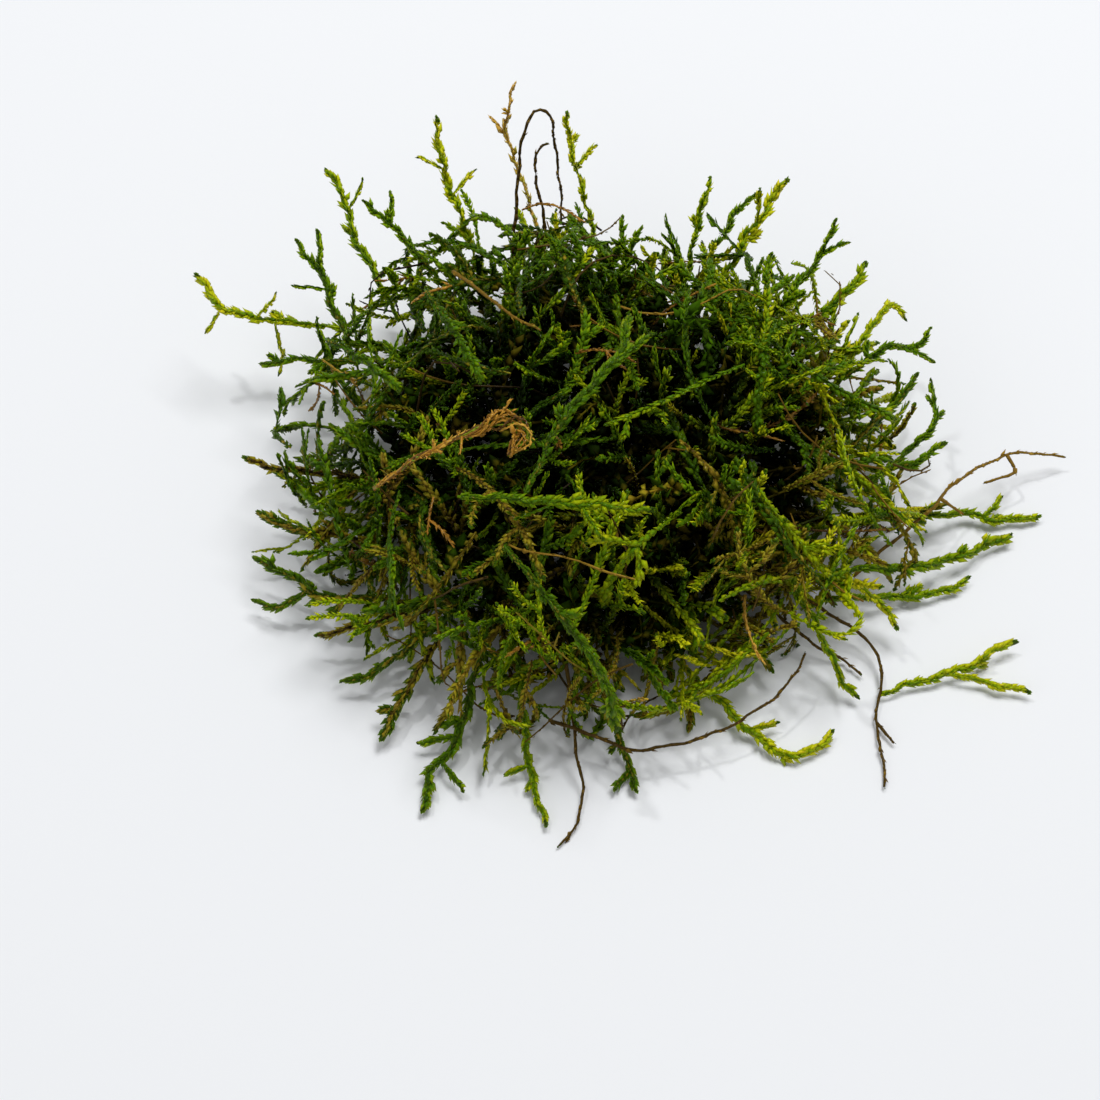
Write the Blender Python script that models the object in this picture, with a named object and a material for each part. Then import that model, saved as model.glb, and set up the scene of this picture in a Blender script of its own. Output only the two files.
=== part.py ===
"""Moss clump: one rounded mat of tangled shoots, with the loose shoots, old stems and
dead strands that stand out of it.

The clump rests on the plane Z = 0 and is centred on the origin. X is its long way, Y its
short way. Every loose piece is a tapering tube that reaches the tips of its leaves, with
its side shoots joined to it, and starts just clear of the mat that it grows out of.
"""

import math
from dataclasses import dataclass
from enum import Enum

import bmesh
import bpy
from mathutils import Vector

MM = 0.001

# Driving dimensions of the mat, in metres.
MAT_HALF_LENGTH = 34.5 * MM
MAT_HALF_WIDTH = 32.5 * MM
MAT_HEIGHT = 26 * MM
WAIST_HEIGHT = 8 * MM  # where the mat is widest
UNDERSIDE_DEPTH = 13 * MM  # how far the full round form would reach below the waist
MAT_SEGMENTS = 48
MAT_RINGS = 24

# Where the mat is thin at its edge: direction in degrees from +X, depth as a share of
# the mat's radius, and spread in degrees.
THIN_PLACES = ((72, 0.12, 20), (-50, 0.11, 22), (-148, 0.05, 16))
KNOB_HEIGHT = 0.022  # how far the knots of shoots stand out, as a share of the radius
KNOBS_ROUND = 9
KNOBS_UP = 7

CLEARANCE = 0.3 * MM  # air between pieces that grow out of or lie on each other
SAMPLE_STEP = 0.25 * MM  # spacing at which a route is tested against the mat
RING_STEP = 2.6 * MM  # spacing of the rings of a tube
TUBE_SIDES_LEVEL = 1  # a curve's bevel_resolution: 1 gives a six-sided tube
WELD_DISTANCE = 0.00001


class Growth(Enum):
    """A kind of loose piece: its radius out to its leaf tips, and its finish."""

    LEAFY = (1.1 * MM, "moss_green")
    FINE = (0.75 * MM, "moss_lime")
    BARE = (0.33 * MM, "old_stem")
    DEAD = (0.45 * MM, "dead_strand")

    @property
    def radius(self):
        return self.value[0]

    @property
    def finish(self):
        return self.value[1]


FINISHES = {  # linear colour and roughness
    "moss_green": ((0.045, 0.155, 0.008), 0.45),
    "moss_lime": ((0.22, 0.33, 0.015), 0.45),
    "old_stem": ((0.022, 0.014, 0.006), 0.6),
    "dead_strand": ((0.36, 0.13, 0.03), 0.6),
}


@dataclass(frozen=True)
class Twig:
    """A side shoot: where it leaves its parent, as a share of the parent's length, and
    the points in millimetres that it then passes through."""

    leaves_at: float
    points: tuple


@dataclass(frozen=True)
class Strand:
    """A loose piece: its points in millimetres, from the mat outwards."""

    name: str
    growth: Growth
    points: tuple
    twigs: tuple = ()


LEAFY, FINE, BARE, DEAD = Growth

LEFT_SIDE = (
    Strand(
        "far_left_shoot", LEAFY,
        ((-31.5, 16.5, 10), (-37.5, 16.7, 11), (-41.7, 17.5, 12), (-44.6, 20.7, 13.5)),
        (Twig(0.42, ((-35.5, 17.5, 14.5),)), Twig(0.3, ((-35.5, 15, 7.5), (-35.7, 13.6, 4.5))),
         Twig(0.7, ((-43.5, 16, 9.5),))),
    ),
    Strand(
        "left_forked_shoot", LEAFY,
        ((-28.5, 14.5, 13), (-30.3, 18.5, 15), (-31, 22.5, 19)),
        (Twig(0.5, ((-33.4, 22.8, 17),)), Twig(0.4, ((-33.4, 17.2, 16.5),))),
    ),
    Strand(
        "left_knobby_shoot", FINE,
        ((-31, 10.5, 12), (-34, 10.5, 12), (-37.2, 10.2, 11.5)),
    ),
    Strand(
        "left_upper_shoot", FINE,
        ((-31, -2.6, 10), (-35, -2.2, 10), (-38.3, -1.3, 10.5)),
    ),
    Strand(
        "left_middle_shoot", LEAFY,
        ((-29, -9.5, 8.5), (-33.5, -8.5, 8), (-37, -6.8, 8.5)),
    ),
    Strand(
        "left_low_shoot", LEAFY,
        ((-25, -15.8, 5.5), (-30, -15.2, 4.8), (-33.4, -12.6, 4.6), (-37.3, -10.7, 5)),
        (Twig(0.5, ((-34.5, -15.4, 3), (-37.4, -14.4, 2.4))),),
    ),
    Strand(
        "left_thin_shoot", FINE,
        ((-23, -18.6, 6), (-27.5, -19, 4.4), (-30.5, -19.3, 3.6)),
    ),
    Strand(
        "left_corner_shoot", FINE,
        ((-19.5, -21, 6), (-24, -23.5, 3.5), (-27.5, -24.3, 2.4)),
    ),
)

BACK = (
    Strand(
        "back_left_shoot", LEAFY,
        ((-24.5, 20.5, 12.5), (-27.2, 24.4, 16), (-28.2, 27.5, 18.5), (-30, 29.5, 20.5)),
        (Twig(0.62, ((-26, 28, 21),)),),
    ),
    Strand(
        "back_left_thin_shoot", FINE,
        ((-19, 21.5, 14), (-22.7, 24.9, 16.5), (-26.1, 27.2, 18.5)),
        (Twig(0.6, ((-23, 28, 19),)),),
    ),
    Strand(
        "tall_back_shoot", LEAFY,
        ((-14.3, 24.5, 13.5), (-15.3, 26.5, 16.5), (-16.8, 28.5, 20), (-17.5, 30.2, 23.5),
         (-18, 32, 27)),
        (Twig(0.6, ((-20, 29.4, 23.4),)), Twig(0.4, ((-14, 29.8, 20.5),))),
    ),
    Strand(
        "amber_back_strand", DEAD,
        ((-7.5, 30.5, 12), (-8.8, 33, 15.5), (-10.2, 35, 19.5), (-10.2, 36, 23), (-9.3, 37.3, 26.5)),
        (Twig(0.55, ((-12, 36.4, 21.5),)),),
    ),
    Strand(
        "looped_back_stem", BARE,
        ((-9.3, 27.5, 16), (-9, 29.8, 19.5), (-8.6, 31.5, 23.5), (-7.6, 32.6, 26.5), (-6.3, 33, 27.3),
         (-5.3, 32.6, 25.6), (-4.9, 31.8, 22), (-4.3, 30, 16), (-4.2, 28, 13)),
    ),
    Strand(
        "inner_back_stem", BARE,
        ((-6.4, 28, 16), (-7, 29.6, 19), (-7.2, 30.2, 21.5), (-6.5, 30.7, 23.6), (-5.7, 30.5, 24.4)),
    ),
    Strand(
        "lime_back_shoot", FINE,
        ((-0.5, 28, 11), (-1.8, 30.2, 16), (-2.9, 31.8, 20), (-3.4, 33.2, 22.8), (-3.7, 34.2, 25.2)),
        (Twig(0.55, ((-0.6, 33, 20.6),)),),
    ),
    Strand(
        "slender_back_shoot", FINE,
        ((10.2, 24, 12), (11.1, 26.8, 16), (12.1, 29, 20)),
    ),
    Strand(
        "dark_back_shoot", FINE,
        ((13, 25, 13), (15, 27, 16), (17, 28.6, 18)),
    ),
    Strand(
        "wide_lime_shoot", LEAFY,
        ((14.3, 21, 14.5), (16.4, 23.9, 17), (18.4, 25.9, 19), (20.2, 27.9, 21.4)),
        (Twig(0.5, ((17.4, 25.4, 23),)),),
    ),
    Strand(
        "side_back_shoot", FINE,
        ((21, 19, 12), (24.5, 22.5, 15), (25.8, 24.8, 18)),
        (Twig(0.55, ((27.2, 23.2, 16.5),)),),
    ),
    Strand(
        "right_back_shoot", LEAFY,
        ((24, 16.5, 11.5), (27.6, 19.2, 13), (29.4, 21.6, 14.4)),
    ),
    Strand(
        "curled_right_shoot", FINE,
        ((28, 12, 11), (30.3, 15.5, 12), (32.4, 18.2, 11.2), (34, 17.6, 9.6)),
    ),
)

RIGHT_SIDE = (
    Strand(
        "right_upright_shoot", FINE,
        ((28.8, 9.5, 13), (31.6, 11, 14), (34.4, 11.4, 13), (36, 13.2, 14)),
        (Twig(0.6, ((36.4, 10.2, 12.2),)),),
    ),
    Strand(
        "right_drooping_shoot", FINE,
        ((33, 1.5, 6.5), (36.2, 4, 8), (36.8, 7, 8.8), (36.2, 9.4, 9.6)),
    ),
    Strand(
        "right_twiggy_shoot", FINE,
        ((29.5, 2, 12.5), (32.4, 4.2, 14), (34, 6.6, 15)),
    ),
    Strand(
        "right_short_shoot", FINE,
        ((31, -2.2, 9.5), (35, -1, 10.2), (37.2, 0.6, 10.8)),
    ),
    Strand(
        "brown_branched_stem", BARE,
        ((31, -9, 5), (35.4, -5.6, 6.4), (38.7, -1.8, 6.4), (42.9, 1.7, 5), (46.4, 3.5, 4),
         (51.7, 4.2, 2)),
        (Twig(0.72, ((45.6, 1, 3.8), (42, -0.6, 4.4))), Twig(0.3, ((39.4, -5.2, 5.4),))),
    ),
    Strand(
        "right_trailing_shoot", FINE,
        ((32, -4.6, 3.4), (36.9, -3.6, 2.6), (40.9, -3, 1.6), (44, -3.6, 1.2), (48.5, -2.8, 1)),
        (Twig(0.62, ((44.4, -0.8, 1.6),)),),
    ),
    Strand(
        "right_low_shoot", LEAFY,
        ((29, -11.8, 5), (34, -10.9, 3.8), (38.6, -9, 2.4), (42.4, -7, 1.6), (45, -5.4, 1.2)),
    ),
    Strand(
        "right_low_thin_shoot", FINE,
        ((28.5, -14, 2.6), (33.5, -13.4, 1.6), (37.4, -12.4, 1.2), (40.2, -10.8, 1.1)),
    ),
    Strand(
        "right_corner_shoot", FINE,
        ((25.5, -13.5, 6.5), (29.6, -15.8, 5.2), (31.6, -18, 3.4)),
    ),
)

FRONT = (
    Strand(
        "long_bare_stem", BARE,
        ((20.5, -14.5, 5), (24.6, -16.8, 3.8), (27.8, -18.4, 2.4), (29.8, -21, 1.6), (29.7, -25, 1),
         (29.1, -28, 0.8), (29.6, -32, 0.6), (29.7, -35.7, 0.5)),
        (Twig(0.72, ((31, -30.6, 0.6),)),),
    ),
    Strand(
        "short_bare_stem", BARE,
        ((18.5, -16.5, 4), (22.5, -19.3, 2.2), (25.6, -20.6, 1), (28, -22.4, 0.6)),
    ),
    Strand(
        "lower_right_shoot", FINE,
        ((20.6, -16, 8), (23.5, -20.6, 5.6), (25.1, -23.4, 3.2), (27.2, -25.6, 1.4)),
    ),
    Strand(
        "forked_lime_shoot", LEAFY,
        ((30.5, -24.8, 1.05), (34.5, -23.4, 1.3), (37.7, -22.6, 1.5), (41, -21, 1.7), (44.3, -19, 2)),
        (Twig(0.46, ((41.4, -23.8, 1.4), (45.5, -24.8, 1.2))),),
    ),
    Strand(
        "lime_crescent_shoot", LEAFY,
        ((11.5, -25.5, 2.6), (15.1, -29, 1.6), (17.7, -31.3, 1.3), (20.3, -32.3, 1.2),
         (22.8, -31.4, 1.2), (24.2, -29.6, 1.2)),
        (Twig(0.34, ((18.6, -28.6, 1.5),)),),
    ),
    Strand(
        "long_dark_stem", BARE,
        ((-1, -31.5, 4.4), (3, -33, 4), (8, -32.2, 3.8), (12.5, -30.8, 4.2), (17, -28.2, 4.8),
         (20, -25.4, 5.4), (21.4, -22.6, 6)),
    ),
    Strand(
        "small_front_shoot", FINE,
        ((0.8, -28, 3.4), (2.4, -32.4, 1.4), (3.6, -36.4, 1)),
        (Twig(0.7, ((1.2, -36.2, 0.9),)),),
    ),
    Strand(
        "hanging_bare_stem", BARE,
        ((-3.2, -29, 5), (-2.6, -33.5, 2.4), (-2, -36.5, 1), (-2.9, -40.1, 0.5), (-4.5, -42.5, 0.5)),
    ),
    Strand(
        "pale_front_shoot", FINE,
        ((-8.4, -28, 5.5), (-7.8, -33, 2), (-7, -36.6, 1.1), (-6, -40, 0.9)),
        (Twig(0.5, ((-10, -34.6, 1.4),)),),
    ),
    Strand(
        "front_left_shoot", LEAFY,
        ((-13.4, -25, 6), (-15.3, -31, 2.6), (-18, -34.4, 1.5), (-18.6, -38.5, 1.1)),
        (Twig(0.62, ((-14.6, -36.4, 1.2),)), Twig(0.45, ((-19.4, -31, 1.6),))),
    ),
    Strand(
        "front_left_stub", LEAFY,
        ((-19, -23.4, 5), (-21.6, -27.4, 3), (-23.3, -30.6, 1.8)),
    ),
)

ON_TOP = (
    Strand(
        "rust_strand", DEAD,
        ((-20.5, -8.8, 21.2), (-18, -8.4, 23.4), (-15, -7.4, 24.4), (-12, -6.6, 25.4),
         (-9.6, -6.6, 26.4), (-8.2, -8.4, 26.6), (-9.6, -10.4, 25.6)),
        (Twig(0.4, ((-14.6, -9.6, 24.8),)), Twig(0.62, ((-9.4, -4.6, 27.4),))),
    ),
    Strand(
        "y_shaped_shoot", LEAFY,
        ((-6, -10.4, 26.6), (-4.6, -7.6, 27.2), (-1.4, -3.4, 27.8), (1.8, 1, 27.8), (2.6, 5.6, 27.4)),
        (Twig(0.62, ((4.8, 3, 27.8),)),),
    ),
    Strand(
        "bright_band_shoot", LEAFY,
        ((-10, -15, 25), (-5, -15.6, 25.2), (0, -16, 25.2), (5, -16.4, 24.8)),
        (Twig(0.5, ((-0.4, -19.2, 24.4),)),),
    ),
    Strand(
        "diagonal_front_shoot", LEAFY,
        ((-7, -23.4, 22.4), (-3.3, -27.6, 20.2), (0, -31.4, 16.8), (1.2, -34.4, 11.6)),
    ),
    Strand(
        "brown_top_strand", BARE,
        ((-12.8, 10.4, 25.2), (-9.6, 6.6, 26.4), (-6.4, 4, 27.2)),
    ),
    Strand(
        "bright_left_shoot", LEAFY,
        ((-17, 8, 24.8), (-14.8, 3, 26.6), (-12.6, -2.2, 27)),
    ),
    Strand(
        "left_crown_shoot", LEAFY,
        ((-27, 5.8, 20.8), (-24, 2, 23.4), (-21.2, -1.6, 24.6)),
    ),
)

STRANDS = LEFT_SIDE + BACK + RIGHT_SIDE + FRONT + ON_TOP


def clear_scene():
    """Removes the objects that a new file starts with."""
    for thing in list(bpy.data.objects):
        bpy.data.objects.remove(thing)


def mat_radius(direction):
    """The mat's radius in this direction, as a share of its smooth round form."""
    turn = math.atan2(direction.y, direction.x)
    rise = math.asin(max(-1.0, min(1.0, direction.z)))
    edge = math.cos(rise)
    share = 1 + KNOB_HEIGHT * edge * math.sin(KNOBS_ROUND * turn + 2 * rise) * math.cos(KNOBS_UP * rise)
    for middle, depth, spread in THIN_PLACES:
        apart = math.remainder(turn - math.radians(middle), math.tau)
        share -= depth * edge * math.exp(-((apart / math.radians(spread)) ** 2))
    return share


def mat_scale(z_above_waist):
    """The mat's three half sizes, on the upper or the lower side of its waist."""
    rise = MAT_HEIGHT - WAIST_HEIGHT if z_above_waist > 0 else UNDERSIDE_DEPTH
    return Vector((MAT_HALF_LENGTH, MAT_HALF_WIDTH, rise))


def distance_to_mat(point):
    """About how far a point is outside the mat, or below zero inside it."""
    place = point - Vector((0, 0, WAIST_HEIGHT))
    scale = mat_scale(place.z)
    unit = Vector(p / s for p, s in zip(place, scale))
    reach = unit.length
    steepness = Vector(u / (reach * s) for u, s in zip(unit, scale)).length
    return (reach - mat_radius(unit.normalized())) / steepness


def smooth_route(points):
    """A smooth line through points given in millimetres, as points in metres."""
    stops = [Vector(p) * MM for p in points]
    ends = [2 * stops[0] - stops[1]] + stops + [2 * stops[-1] - stops[-2]]
    route = []
    for a, b, c, d in zip(ends, ends[1:], ends[2:], ends[3:]):
        count = max(2, round((c - b).length / SAMPLE_STEP))
        for i in range(count):
            t = i / count
            bend = (2 * a - 5 * b + 4 * c - d) * t**2 + (3 * b - a - 3 * c + d) * t**3
            route.append(b + ((c - a) * t + bend) / 2)
    return route + [stops[-1]]


def thickness(growth, share):
    """The radius of a piece this share of the way from its root to its tip."""
    if growth in (Growth.BARE, Growth.DEAD):
        return growth.radius * (1 - 0.3 * share)
    root = 0.6 + 0.4 * min(1, share / 0.25)
    tip = 0.4 + 0.6 * min(1, (1 - share) / 0.3)
    return growth.radius * root * tip


def clear_of_mat(route, radii):
    """The part of a route from its tip back to where it would reach the mat."""
    outside = [distance_to_mat(p) > r + CLEARANCE for p, r in zip(route, radii)]
    last = max(i for i, free in enumerate(outside) if free)
    first = last
    while first > 0 and outside[first - 1]:
        first -= 1
    return route[first:last + 1], radii[first:last + 1]


def spaced(route, radii):
    """Rings about RING_STEP apart along a route, its two ends among them."""
    gaps = max(2, round(len(route) * SAMPLE_STEP / RING_STEP))
    picks = [round(i * (len(route) - 1) / gaps) for i in range(gaps + 1)]
    return [(route[i], radii[i]) for i in picks]


def tube(name, route, growth):
    """A closed tapering tube along a route, kept above the plane that the clump rests on."""
    radii = [thickness(growth, i / (len(route) - 1)) for i in range(len(route))]
    route, radii = clear_of_mat(route, radii)
    curve = bpy.data.curves.new(name, "CURVE")
    curve.dimensions = "3D"
    curve.bevel_depth = growth.radius
    curve.bevel_resolution = TUBE_SIDES_LEVEL
    curve.use_fill_caps = True
    rings = spaced(route, radii)
    spline = curve.splines.new("POLY")
    spline.points.add(len(rings) - 1)
    for point, (place, radius) in zip(spline.points, rings):
        point.co = (place.x, place.y, max(place.z, radius * 1.02), 1)
        point.radius = radius / growth.radius
    guide = bpy.data.objects.new(name, curve)
    bpy.context.scene.collection.objects.link(guide)
    depsgraph = bpy.context.evaluated_depsgraph_get()
    mesh = bpy.data.meshes.new_from_object(guide.evaluated_get(depsgraph))
    bpy.data.objects.remove(guide)
    shape = bmesh.new()
    shape.from_mesh(mesh)
    bmesh.ops.remove_doubles(shape, verts=shape.verts, dist=WELD_DISTANCE)
    shape.to_mesh(mesh)
    shape.free()
    piece = bpy.data.objects.new(name, mesh)
    bpy.context.scene.collection.objects.link(piece)
    return piece


def joined(main, others):
    """One solid from a tube and its side shoots."""
    for other in others:
        union = main.modifiers.new("join", "BOOLEAN")
        union.operation = "UNION"
        union.solver = "EXACT"
        union.object = other
    depsgraph = bpy.context.evaluated_depsgraph_get()
    mesh = bpy.data.meshes.new_from_object(main.evaluated_get(depsgraph))
    main.modifiers.clear()
    main.data = mesh
    for other in others:
        bpy.data.objects.remove(other)
    return main


def build_strand(strand):
    """A loose piece with its side shoots, as one closed solid."""
    route = smooth_route(strand.points)
    main = tube(strand.name, route, strand.growth)
    others = []
    for number, twig in enumerate(strand.twigs, 1):
        root = route[round(twig.leaves_at * (len(route) - 1))]
        points = (tuple(root / MM),) + twig.points
        others.append(tube(f"{strand.name}_twig_{number}", smooth_route(points), twig_growth(strand.growth)))
    return joined(main, others) if others else main


def twig_growth(growth):
    """Side shoots of a wide leafy shoot are fine ones, and all others are like their parent."""
    return Growth.FINE if growth is Growth.LEAFY else growth


def build_mat():
    """The tangled mat: a round form with knots and thin places, cut flat where it rests."""
    shape = bmesh.new()
    bmesh.ops.create_uvsphere(shape, u_segments=MAT_SEGMENTS, v_segments=MAT_RINGS, radius=1)
    for vertex in shape.verts:
        direction = vertex.co.normalized()
        scale = mat_scale(direction.z)
        reach = mat_radius(direction)
        vertex.co = Vector(d * s * reach for d, s in zip(direction, scale))
        vertex.co.z += WAIST_HEIGHT
    everything = shape.verts[:] + shape.edges[:] + shape.faces[:]
    bmesh.ops.bisect_plane(
        shape, geom=everything, dist=WELD_DISTANCE, plane_co=(0, 0, 0), plane_no=(0, 0, 1), clear_inner=True
    )
    rim = [edge for edge in shape.edges if edge.is_boundary]
    bmesh.ops.holes_fill(shape, edges=rim, sides=0)
    bmesh.ops.recalc_face_normals(shape, faces=shape.faces)
    mesh = bpy.data.meshes.new("shoot_mat")
    shape.to_mesh(mesh)
    shape.free()
    mat = bpy.data.objects.new("shoot_mat", mesh)
    bpy.context.scene.collection.objects.link(mat)
    return mat


def make_finish(name):
    """A Principled material in one of the clump's colours."""
    colour, roughness = FINISHES[name]
    material = bpy.data.materials.new(name)
    material.use_nodes = True
    shader = material.node_tree.nodes["Principled BSDF"]
    shader.inputs["Base Color"].default_value = (*colour, 1)
    shader.inputs["Roughness"].default_value = roughness
    shader.inputs["Metallic"].default_value = 0
    return material


def main():
    """Builds the clump in a collection of its own."""
    clear_scene()
    clump = bpy.data.collections.new("moss_clump")
    bpy.context.scene.collection.children.link(clump)
    finishes = {name: make_finish(name) for name in FINISHES}
    pieces = [(build_mat(), "moss_green")]
    pieces += [(build_strand(strand), strand.growth.finish) for strand in STRANDS]
    for piece, finish in pieces:
        piece.data.materials.clear()
        piece.data.materials.append(finishes[finish])
        piece.data.shade_smooth()
        bpy.context.scene.collection.objects.unlink(piece)
        clump.objects.link(piece)


main()
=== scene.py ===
"""Looks of the moss clump: every shoot, leaf, old stem and dead strand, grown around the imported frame.

The clump is water moss: thin stems with ranks of pointed leaves about a millimetre long. A dense mat of
such shoots stands in the place of the frame's shoot_mat, and each stray piece in the place of its own node.
"""

import logging
import math
from collections.abc import Callable
from dataclasses import dataclass, field
from enum import Enum

import bpy
import numpy as np
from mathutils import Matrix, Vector


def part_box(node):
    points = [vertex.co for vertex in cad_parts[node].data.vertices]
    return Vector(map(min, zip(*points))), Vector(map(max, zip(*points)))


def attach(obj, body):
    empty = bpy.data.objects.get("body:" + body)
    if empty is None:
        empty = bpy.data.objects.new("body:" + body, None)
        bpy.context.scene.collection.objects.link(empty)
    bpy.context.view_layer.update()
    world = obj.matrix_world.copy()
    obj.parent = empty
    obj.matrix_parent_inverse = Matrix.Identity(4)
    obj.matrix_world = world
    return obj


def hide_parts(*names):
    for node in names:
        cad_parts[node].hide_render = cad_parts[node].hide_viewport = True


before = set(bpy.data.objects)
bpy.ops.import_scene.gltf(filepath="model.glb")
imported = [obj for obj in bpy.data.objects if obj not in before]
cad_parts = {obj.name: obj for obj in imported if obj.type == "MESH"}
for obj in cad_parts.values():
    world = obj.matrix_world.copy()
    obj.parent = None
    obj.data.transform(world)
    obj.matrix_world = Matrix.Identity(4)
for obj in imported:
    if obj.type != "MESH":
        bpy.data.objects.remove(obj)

MM = 0.001
BODY = "root"
MAP_NAME = "OFBake"
SEED = 20
LEAF_GROUND = 0.3 * MM  # leaves lower than this lie pressed flat on the ground
TWIG_GROUND = 1.0 * MM  # the same for the stems of side shoots

log = logging.getLogger("moss_clump")


# ---------------------------------------------------------------- colour and maps


def linear(hex_colour: str) -> tuple[float, float, float, float]:
    """Turns an sRGB hex colour into linear light.

    Args:
        hex_colour: a colour such as "#3f7a14".

    Returns:
        Linear red, green, blue and an alpha of one.
    """
    parts = [int(hex_colour[i:i + 2], 16) / 255 for i in (1, 3, 5)]
    bent = [p / 12.92 if p <= 0.04045 else ((p + 0.055) / 1.055) ** 2.4 for p in parts]
    return (*bent, 1.0)


class Tone(Enum):
    """Where a tissue lies along its palette, from old olive growth to straw."""

    OLIVE = 0.2
    DEEP = 0.34
    MID = 0.48
    FRESH = 0.6
    BRIGHT = 0.74
    LIME = 0.87
    STRAW = 0.97


@dataclass(frozen=True)
class LeafCards:
    """The map that all tissues share: a grid of cards, one column a tone and one row a shade.

    A leaf takes one card, with its width across the card and its length up it, so that its margins and its
    tip can be coloured, and not only its place.
    """

    columns: int = 16
    rows: int = 8
    margin: float = 0.08

    def places(
        self, tone: np.ndarray, shade: np.ndarray, across: np.ndarray, along: np.ndarray
    ) -> np.ndarray:
        """Finds where points lie on the map.

        Args:
            tone: palette share of each point, from 0 to 1.
            shade: light share of each point, from 0, deep inside, to 1, outside.
            across: share of the way across the card.
            along: share of the way up the card.

        Returns:
            Map coordinates, with a last axis of two.
        """
        column = np.clip(np.rint(tone * (self.columns - 1)), 0, self.columns - 1)
        row = np.clip(np.rint(shade * (self.rows - 1)), 0, self.rows - 1)
        inner = 1 - 2 * self.margin
        u = (column + self.margin + inner * across) / self.columns
        v = (row + self.margin + inner * along) / self.rows
        return np.stack(np.broadcast_arrays(u, v), -1)


CARDS = LeafCards()


def add_node(
    tree: bpy.types.NodeTree, kind: str, settings: dict | None = None, links: dict | None = None
) -> bpy.types.Node:
    """Adds one shader node.

    Args:
        tree: the node tree to add to.
        kind: the node's type name, such as "ShaderNodeMath".
        settings: attributes of the node, or values of its inputs where the key is an input's name or number.
        links: what to join to its inputs, by name or number: a socket, or a node for its first output.

    Returns:
        The new node.
    """
    node = tree.nodes.new(kind)
    for key, value in (settings or {}).items():
        if isinstance(key, str) and hasattr(node, key):
            setattr(node, key, value)
        else:
            node.inputs[key].default_value = value
    for key, source in (links or {}).items():
        tree.links.new(source.outputs[0] if isinstance(source, bpy.types.Node) else source, node.inputs[key])
    return node


def fill_ramp(ramp: bpy.types.ColorRamp, stops: tuple) -> None:
    """Sets a colour ramp's stops.

    Args:
        ramp: the ramp to fill.
        stops: pairs of a place from 0 to 1 and an sRGB hex colour.
    """
    while len(ramp.elements) > 1:
        ramp.elements.remove(ramp.elements[-1])
    for number, (place, colour) in enumerate(stops):
        element = ramp.elements[0] if number == 0 else ramp.elements.new(place)
        element.position = place
        element.color = linear(colour)


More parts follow.
